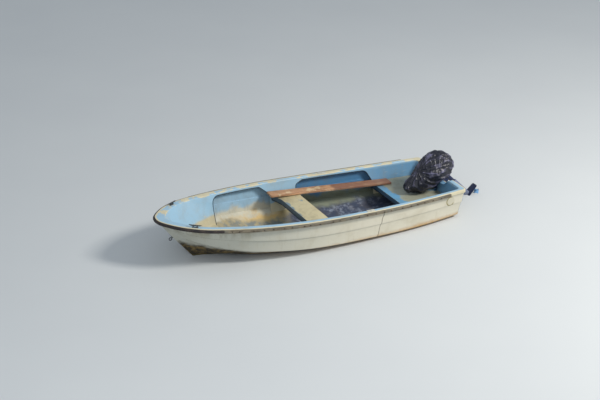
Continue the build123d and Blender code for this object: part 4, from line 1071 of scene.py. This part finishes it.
def outside_gelcoat():
    """Cream hull: yellowed at the waterline, dark growth at the bow's foot, runs, a crack, a patch."""
    material, t, place = new_material("hull_gelcoat")
    x, y, z = t.axes(place)
    port = t.ramp(y, 0.3, 0.4)
    ragged = t.noise(place, 4.5, 6.0, 0.7)
    wander = ragged - 0.5
    tone = t.mix(t.ramp(x, -0.6, 1.2), srgb(208, 203, 185), srgb(186, 186, 173))
    base = t.group(GRIME, Color=tone, Dirt=srgb(160, 148, 116), Amount=0.60)
    stain = t.ramp(z + wander * 0.10, 0.012, 0.100, True)
    color = t.mix(stain * 0.94, base["Color"], srgb(176, 130, 54))
    growth_top = 0.015 + t.ramp(x, 0.55, 1.45) * 0.20
    growth = t.ramp(z + wander * 0.24 - growth_top, -0.05, 0.035, True) * t.ramp(x, 0.45, 1.1)
    soil = t.mix(t.patches(place, 16.0, 6.0, 0.7, 0.44, 0.62), srgb(50, 42, 26), srgb(128, 106, 60))
    color = t.mix(growth, color, soil)
    # Olive stain patches below the rail, forward, which also paint the shade that the rail and fender cast
    under_rail = t.ramp(z - x * 0.05, 0.26, 0.44) * t.ramp(x, 0.35, 1.3)
    olive_stain_and_shade = under_rail * t.patches(t.stretched(place, (9, 9, 2.2)), 1.0, 5.0, 0.7, 0.40, 0.62)
    color = t.mix(olive_stain_and_shade * 0.75, color, srgb(124, 116, 84))
    waterline = t.ramp(abs(z - 0.006), 0.004, 0.016, True)
    color = t.mix(waterline * 0.8, color, srgb(92, 84, 46))
    off_crack = abs(x - (CRACK_X - z * CRACK_LEAN + t.noise(place, 7.0, 3.0) * 0.05))
    crack = t.ramp(off_crack, 0.0016, 0.0070, True) * port
    color = t.mix(crack * 0.90, color, srgb(78, 62, 44))
    dx, dz = x - PATCH_X, z - PATCH_Z
    distance = t.math("SQRT", dx * dx + dz * dz)
    ring = t.ramp(abs(distance - PATCH_RADIUS), 0.003, 0.011, True) * t.ramp(ragged, 0.34, 0.52)
    disc = t.ramp(distance, PATCH_RADIUS - 0.008, PATCH_RADIUS + 0.006, True) * 0.18
    color = t.mix(t.math("MAXIMUM", ring, disc) * port, color, srgb(128, 118, 62))
    height = t.noise(place, 2.4, 3.0, 0.5) + t.noise(place, 60.0, 4.0, 0.6) * 0.05
    roughness = 0.30 + (base["Mask"] + growth) * 0.35
    return shaded(material, t, color, roughness, t.bump(height, 0.35, 0.012), coat=0.12, coat_rough=0.2)


def inner_gelcoat():
    """Inner moulding: blue gelcoat, worn to cream along the gunwale's outer edge and to starboard.

    The bow seat, the flat part below the bowl, is cream. On the aft walls below the flange, a deeper blue is painted
    shade, where the sack's shadow falls.
    """
    material, t, place = new_material("inner_gelcoat")
    x, y, z = t.axes(place)
    depth = sheer_z(x) - z
    flange = t.ramp(depth, 0.006, 0.018, True)
    starboard = t.ramp(y, -0.30, 0.10, True)
    wobble = (t.noise(place, 5.0, 5.0, 0.7) - 0.5) * 0.05
    edge = t.ramp(t.attribute("inward") + wobble, 0.012, 0.024, True)
    wide = t.noise(place, 1.6, 3.0, 0.6) - 0.5
    level = 0.08 + wide * 0.9 + flange * starboard * 0.42 + edge * 0.85
    level = level + t.ramp(z, 0.10, 0.22, True) * 0.80
    # Painted shade: deeper blue on the aft walls below the flange, as the sack's shadow
    aft = t.ramp(x, -1.5, -0.6, True) * t.ramp(depth, 0.010, 0.040)
    blue = t.mix(aft * 0.65, srgb(156, 193, 216), srgb(74, 136, 182))
    worn = t.group(WEAR, Above=blue, Below=srgb(214, 206, 176), Amount=level, Scale=6.5)
    seat = t.ramp(z + wide * 0.10, 0.25, 0.29, True) * t.ramp(x, 0.9, 1.0)
    seat_tone = t.mix(t.noise(place, 9.0, 4.0, 0.6), srgb(206, 192, 150), srgb(186, 180, 158))
    color = t.mix(seat, worn["Color"], seat_tone)
    grime = t.group(GRIME, Color=color, Dirt=srgb(150, 134, 98), Amount=0.5)
    scratches = t.patches(t.stretched(place, (3.0, 60.0, 60.0), (0.0, 0.0, 0.5)), 1.0, 4.0, 0.6, 0.62, 0.70)
    color = t.mix(scratches * 0.25, grime["Color"], srgb(226, 222, 204))
    height = t.noise(place, 2.8, 3.0, 0.5) + worn["Mask"] * -0.02
    roughness = 0.36 + (worn["Mask"] + grime["Mask"]) * 0.2
    return shaded(material, t, color, roughness, t.bump(height, 0.30, 0.010), coat=0.10, coat_rough=0.25)


def inside_gelcoat():
    """Inside of the hull: blue high in the pockets, worn cream below, both painted darker aft as shade; on the floor,
    dark blue-grey aft and, forward, painted shade and sunlight among dirt.
    """
    material, t, place = new_material("hull_lining")
    x, _, z = t.axes(place)
    wander = t.noise(place, 4.5, 6.0, 0.68) - 0.5
    fore = t.ramp(x, -0.15, 0.20)
    level = z - x * 0.05 + wander * 0.26
    low = t.mix(t.ramp(level, 0.02, 0.10), srgb(222, 190, 128), srgb(212, 208, 190))
    # Painted shade: aft of the thwart, the pockets' cream and blue are darker
    cream = t.mix(fore, srgb(138, 144, 124), low)
    blue = t.mix(fore, srgb(84, 134, 174), srgb(158, 194, 218))
    color = t.mix(t.ramp(level, 0.12, 0.20), cream, blue)
    bilge = t.ramp(z - t.ramp(x, 0.2, 1.1) * 0.13 + wander * 0.10, -0.015, 0.030, True)
    # Forward floor: grey-blue patches of painted shade among cream, which is partly dirt and partly painted sunlight;
    # aft floor: darker blue-grey with pale blotches
    fore_floor_dirt_and_shade = t.mix(t.patches(place, 12.0, 5.0, 0.7, 0.40, 0.62), srgb(120, 132, 134), srgb(178, 166, 132))
    dark_aft_floor = t.mix(t.patches(place, 10.0, 6.0, 0.72, 0.50, 0.66), srgb(62, 72, 98), srgb(138, 146, 164))
    color = t.mix(bilge * 0.94, color, t.mix(t.ramp(x, -0.10, 0.15), dark_aft_floor, fore_floor_dirt_and_shade))
    grime = t.group(GRIME, Color=color, Dirt=srgb(120, 104, 76), Amount=0.6)
    bump = t.bump(t.noise(place, 30.0, 6.0, 0.7), 0.35, 0.004)
    return shaded(material, t, grime["Color"], 0.45 + grime["Mask"] * 0.3, bump)


def seat_gelcoat(name, top, top_left, fascia_with_shade, amount, fore_edge):
    """Seat: its top worn to cream and dirt, but less at its fore edge; its upright faces blue, painted darker as
    shade.
    """
    material, t, place = new_material(name)
    x = t.axes(place)[0]
    up = t.facing_up()
    level = amount + (t.noise(place, 2.4, 2.0, 0.5) - 0.5) * 1.1
    level = level - t.ramp(x, fore_edge - 0.13, fore_edge - 0.05) * 0.42
    worn = t.group(WEAR, Above=top_left, Below=top, Amount=level, Scale=7.0)
    stained = t.group(GRIME, Color=worn["Color"], Dirt=srgb(122, 112, 88), Amount=1.0)
    # Painted shade: the upright faces take a darker blue than the lit top, mottled darker still
    dull = t.mix(t.noise(place, 13.0, 6.0, 0.7), fascia_with_shade, srgb(58, 76, 92))
    color = t.mix(t.ramp(up, 0.45, 0.80), dull, stained["Color"])
    rim = t.ramp(up, 0.35, 0.60) * t.ramp(up, 0.80, 0.97, True)
    color = t.mix(rim * t.patches(place, 18.0, 4.0, 0.6, 0.44, 0.56), color, srgb(222, 212, 176))
    height = t.noise(place, 3.0, 3.0, 0.5) + worn["Mask"] * -0.03
    roughness = 0.40 + stained["Mask"] * 0.3
    return shaded(material, t, color, roughness, t.bump(height, 0.35, 0.008), coat=0.08, coat_rough=0.3)


def rubber(name, color, dust):
    """Rubber: scuffed and dusty in cloudy patches."""
    material, t, place = new_material(name)
    cloud = t.noise(place, 14.0, 6.0, 0.65)
    shade = t.mix(t.ramp(cloud, 0.42, 0.72) * 0.55, color, dust)
    bump = t.bump(t.noise(place, 240.0, 3.0, 0.6), 0.25, 0.002)
    return shaded(material, t, shade, 0.50 + cloud * 0.25, bump)


def wood(name, dark, light, weather, grain_scale, weather_amount, aft=None):
    """Wood with its grain along X: stretched noise bends rings, and the weather greys it in patches.

    aft is a station and the lighter grain's colour aft of it, darker there as the painted shadow of the sack.
    """
    material, t, place = new_material(name)
    along = t.stretched(place, (1.6, 26.0, 26.0))
    bend = t.noise(along, grain_scale, 5.0, 0.6, 0.6)
    fibre = t.noise(t.stretched(place, (6.0, 190.0, 190.0)), 1.0, 3.0, 0.6)
    grain = bend * 0.7 + fibre * 0.3
    rings = t.ramp(grain, 0.34, 0.64)
    color = t.mix(rings, dark, light)
    worn = t.group(WEAR, Above=color, Below=weather, Amount=weather_amount, Scale=7.0)["Color"]
    # Painted shadow: aft of the station the lighter grain turns darker, as the sack's shadow on the board
    if aft:
        station, tone = aft
        ragged = t.axes(place)[0] + t.noise(along, 2.0, 3.0) * 0.12
        turned = t.ramp(ragged, station - 0.02, station + 0.04, True)
        worn = t.mix(turned * 0.85, worn, t.mix(rings, dark, tone))
    grime = t.group(GRIME, Color=worn, Dirt=srgb(60, 48, 38), Amount=0.5)
    return shaded(material, t, grime["Color"], 0.50 + fibre * 0.3, t.bump(grain, 0.5, 0.003))


def metal(name, color, tarnish, metallic, rough):
    """Metal or painted metal: film of tarnish, fine scratches."""
    material, t, place = new_material(name)
    cloud = t.noise(place, 22.0, 6.0, 0.7)
    shade = t.mix(t.ramp(cloud, 0.46, 0.70) * 0.7, color, tarnish)
    scratches = t.noise(t.stretched(place, (30.0, 300.0, 300.0)), 1.0, 3.0, 0.6)
    return shaded(material, t, shade, rough + cloud * 0.25, t.bump(scratches, 0.15, 0.001), metallic=metallic)


def cover_plastic():
    """Thin glossy black sheet with a blue cast: painted lavender on the crests of its folds as a sheen, finely
    creased.
    """
    material, t, place = new_material("cover_plastic")
    cells = t.add("ShaderNodeTexVoronoi", {"Vector": place, "Scale": 22.0}, feature="DISTANCE_TO_EDGE")[0]
    fine = t.noise(place, 18.0, 6.0, 0.6, 1.2)
    # Painted sheen: lavender-grey on the fold crests, where the glossy sheet catches the light
    painted_sheen = t.ramp(t.attribute("fold"), 0.16, 0.56, True) * t.patches(place, 4.0, 3.0, 0.5, 0.36, 0.60)
    shade = t.mix(painted_sheen, srgb(14, 15, 32), srgb(112, 110, 138))
    bump = t.bump(fine * 0.8 + cells * 0.6, 0.4, 0.006)
    return shaded(material, t, shade, 0.30 + fine * 0.24, bump, specular=0.7)


def aimed(name, data, direction, distance):
    """Camera or lamp that looks at the origin from a direction."""
    obj = placed(name, data)
    back = Vector(direction).normalized()
    obj.location = back * distance
    obj.rotation_euler = (-back).to_track_quat("-Z", "Y").to_euler()
    return obj


def make_camera():
    """Camera at the photograph's angle, aimed at the origin."""
    data = bpy.data.cameras.new("camera")
    data.lens, data.sensor_width, data.sensor_fit = CAMERA_LENS, SENSOR, "HORIZONTAL"
    data.shift_x, data.shift_y = CAMERA_SHIFT
    data.clip_end = 200.0
    a, e = radians(CAMERA_AZIMUTH), radians(CAMERA_ELEVATION)
    back = (sin(a) * cos(e), -cos(a) * cos(e), sin(e))
    bpy.context.scene.camera = aimed("camera", data, back, CAMERA_DISTANCE)


def area_light(name, direction, distance, size, power, color):
    """Square lamp that shines on the origin from a direction."""
    data = bpy.data.lights.new(name, "AREA")
    data.size, data.energy, data.color = size, power, color
    aimed(name, data, direction, distance)


def make_light():
    """Soft key from aft and to port, a wide fill over the bow, and a pale world."""
    area_light("key", (-0.66, 0.62, 0.80), 14.0, 3.0, 1420.0, (1.0, 0.96, 0.90))
    area_light("fill", (0.8, 0.9, 0.7), 11.0, 7.0, 150.0, (0.92, 0.96, 1.0))
    world = bpy.data.worlds.new("world")
    world.use_nodes = True
    background = world.node_tree.nodes["Background"]
    background.inputs["Color"].default_value = (0.80, 0.87, 0.95, 1.0)
    background.inputs["Strength"].default_value = 0.50
    bpy.context.scene.world = world
    bpy.context.scene.view_settings.view_transform = "Standard"


def make_floor():
    """Pale floor at the waterline, with the hull's outline cut out of it."""
    u = np.linspace(STERN, FORE_FRAME, 160)
    rows = rounded_rows(section_rows(u, 0.003), [0] * 10, [1] * 10, False)
    outline = []
    for x, y, z in rows.transpose(1, 2, 0):
        rising = z + np.arange(len(z)) * 1e-6
        outline.append((np.interp(0.0, rising, x), np.interp(0.0, rising, y), 0.0))
    outline = np.array(outline)
    outline = outline[outline[:, 1] > 0.012]
    tip = [[np.interp(0.0, STEM_Z, STEM_X) - 0.004, 0.0, 0.0]]
    port = np.concatenate([outline, tip])
    ring = np.concatenate([port, (port * [1, -1, 1])[-2::-1]])
    angle = np.arctan2(ring[:, 1], ring[:, 0] + 0.1)
    far = np.stack([60 * np.cos(angle), 60 * np.sin(angle), 0 * angle], 1)
    surface = np.stack([ring + (far - ring) * s for s in (0.0, 0.002, 0.01, 0.05, 0.2, 1.0)])
    floor = grid_object("floor", surface, close_columns=True)
    material, t, place = new_material("floor")
    color = t.mix(t.noise(place, 0.6, 2.0), srgb(206, 210, 212), srgb(212, 216, 217))
    floor.data.materials.append(shaded(material, t, color, 0.75, specular=0.3))


make_camera()
make_light()
make_floor()

# Materials
HULL = outside_gelcoat()
INNER = inner_gelcoat()
LINING = inside_gelcoat()
# The third colours are the seats' upright faces: blue, painted dark as shade
THWART = seat_gelcoat("thwart_gelcoat", srgb(208, 196, 156), srgb(122, 146, 158), srgb(70, 98, 116), 0.80,
                      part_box("mid_thwart")[1][0])
STERN_SEAT = seat_gelcoat("stern_seat_gelcoat", srgb(158, 160, 142), srgb(96, 156, 194), srgb(70, 104, 130),
                          0.74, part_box("stern_seat")[1][0])
BEAD = rubber("bead_rubber", srgb(34, 46, 60), srgb(70, 80, 88))
# Dark brown-grey of the tubes painted as shade in the laps
LAP_SHADOW = rubber("lap_shadow", srgb(86, 84, 72), srgb(118, 112, 92))
FENDER = rubber("fender_rubber", srgb(34, 28, 30), srgb(92, 76, 66))
RAIL = wood("rail_wood", srgb(78, 70, 58), srgb(138, 128, 108), srgb(112, 108, 96), 1.6, 0.45)
# The board darkens aft of -0.58 as the sack's painted shadow
BOARD = wood("board_wood", srgb(156, 112, 82), srgb(212, 164, 124), srgb(224, 196, 156), 1.2, 0.42,
             (-0.58, srgb(112, 72, 64)))
SCREW = metal("rusty_screws", srgb(48, 38, 34), srgb(28, 22, 20), 0.3, 0.55)
ZINC = metal("dull_zinc", srgb(92, 96, 100), srgb(44, 44, 46), 0.7, 0.40)
SOCKET = metal("socket_plastic", srgb(198, 197, 186), srgb(168, 160, 138), 0.0, 0.40)
MOTOR = metal("motor_paint", srgb(24, 36, 74), srgb(16, 24, 46), 0.0, 0.30)
# The whole leg is painted a light lavender-grey as a painted highlight
LEG_PAINTED_HIGHLIGHT = metal("leg_painted_highlight", srgb(120, 128, 152), srgb(84, 92, 116), 0.0, 0.35)
BLADES = metal("propeller_paint", srgb(118, 164, 206), srgb(70, 104, 140), 0.0, 0.35)
GRIP = rubber("grip_rubber", srgb(22, 22, 24), srgb(50, 50, 52))
COVER = cover_plastic()

# Hull and mouldings
hull_skin, lining, transom_plate = make_hull()
finish_piece(hull_skin, "boat", HULL, "hull_gelcoat", "hull_shell")
finish_piece(lining, "boat", LINING, "hull_gelcoat")
finish_piece(transom_plate, "boat", HULL, "hull_gelcoat")
finish_piece(lap_shadow_lines("outside_lap_shadows", 0.0, (3, 5, 7), 1.86, -1.98), "boat", LAP_SHADOW, "hull_gelcoat")
finish_piece(lap_shadow_lines("inside_lap_shadows", HULL_SKIN, (5, 7), 1.30, -1.94), "boat", LAP_SHADOW, "hull_gelcoat")
for piece, slot, nodes in (
        (make_inner_moulding(), "inner_gelcoat", ("stern_moulding", "side_moulding_port", "side_moulding_starboard")),
        (softened("bow_moulding", 0.003), "inner_gelcoat", ("bow_moulding",)),
        (softened("transom_cap", 0.003), "cap_gelcoat", ("transom_cap",))):
    mark_inward(piece)
    finish_piece(piece, "boat", INNER, slot, *nodes)

# Seats, fittings and motor: each CAD node with its edges rounded by a width
trims = sorted(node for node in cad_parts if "trim" in node)
for body, width, material, slot, nodes in (
        ("boat", 0.008, THWART, "seat_gelcoat", ["mid_thwart"]),
        ("boat", 0.008, STERN_SEAT, "seat_gelcoat", ["stern_seat"]),
        ("boat", 0.003, ZINC, "fittings", ["cleat_port", "cleat_starboard"]),
        ("boat", 0.002, SOCKET, "socket_plastic", ["rowlock_socket_port", "rowlock_socket_starboard"]),
        ("boat", 0.0015, ZINC, "fittings", ["stem_eye", "clamp_screw_port", "clamp_screw_starboard"]),
        ("boat", 0.002, GRIP, "plug", ["drain_plug"]),
        ("boat", 0.003, BOARD, "board", ["loose_board"]),
        ("boat", 0.003, MOTOR, "motor_paint", ["clamp_bracket"]),
        ("boat", 0.002, BEAD, "bead", trims),
        ("swivel", 0.002, MOTOR, "motor_paint", ["swivel_bracket"]),
        ("motor", 0.003, LEG_PAINTED_HIGHLIGHT, "motor_paint", ["motor_leg"]),
        ("motor", 0.003, MOTOR, "motor_paint", ["gearcase"]),
        ("motor", 0.002, MOTOR, "motor_paint", ["anti_ventilation_plate"]),
        ("motor", 0.006, MOTOR, "cowl", ["powerhead"]),
        ("motor", 0.002, GRIP, "grip", ["tiller"]),
        ("propeller", 0.0015, BLADES, "propeller_paint", ["propeller"])):
    for node in nodes:
        finish_piece(softened(node, width, 2 if node in trims else 3), body, material, slot, node)
sack = finish_piece(make_sack(), "motor", COVER, "cover", "motor_cover")

# Fender and rails
fender = swept_rail("fender_rubber", bow_path(FENDER_END), fender_section())
finish_piece(fender, "boat", FENDER, "fender", "bow_fender")
for side, name in ((1, "port"), (-1, "starboard")):
    path = side_path(FENDER_END - RAIL_BEDDING, RAIL_END, 240)
    rail = swept_rail(f"rail_{name}", path, rail_section(), side, wear=0.002, seed=5)
    lengths = [f"rub_rail_{place}_{name}" for place in ("fore", "mid", "aft")]
    finish_piece(rail, "boat", RAIL, "rail", *lengths)
    finish_piece(rail_screws(side), "boat", SCREW, "fittings")
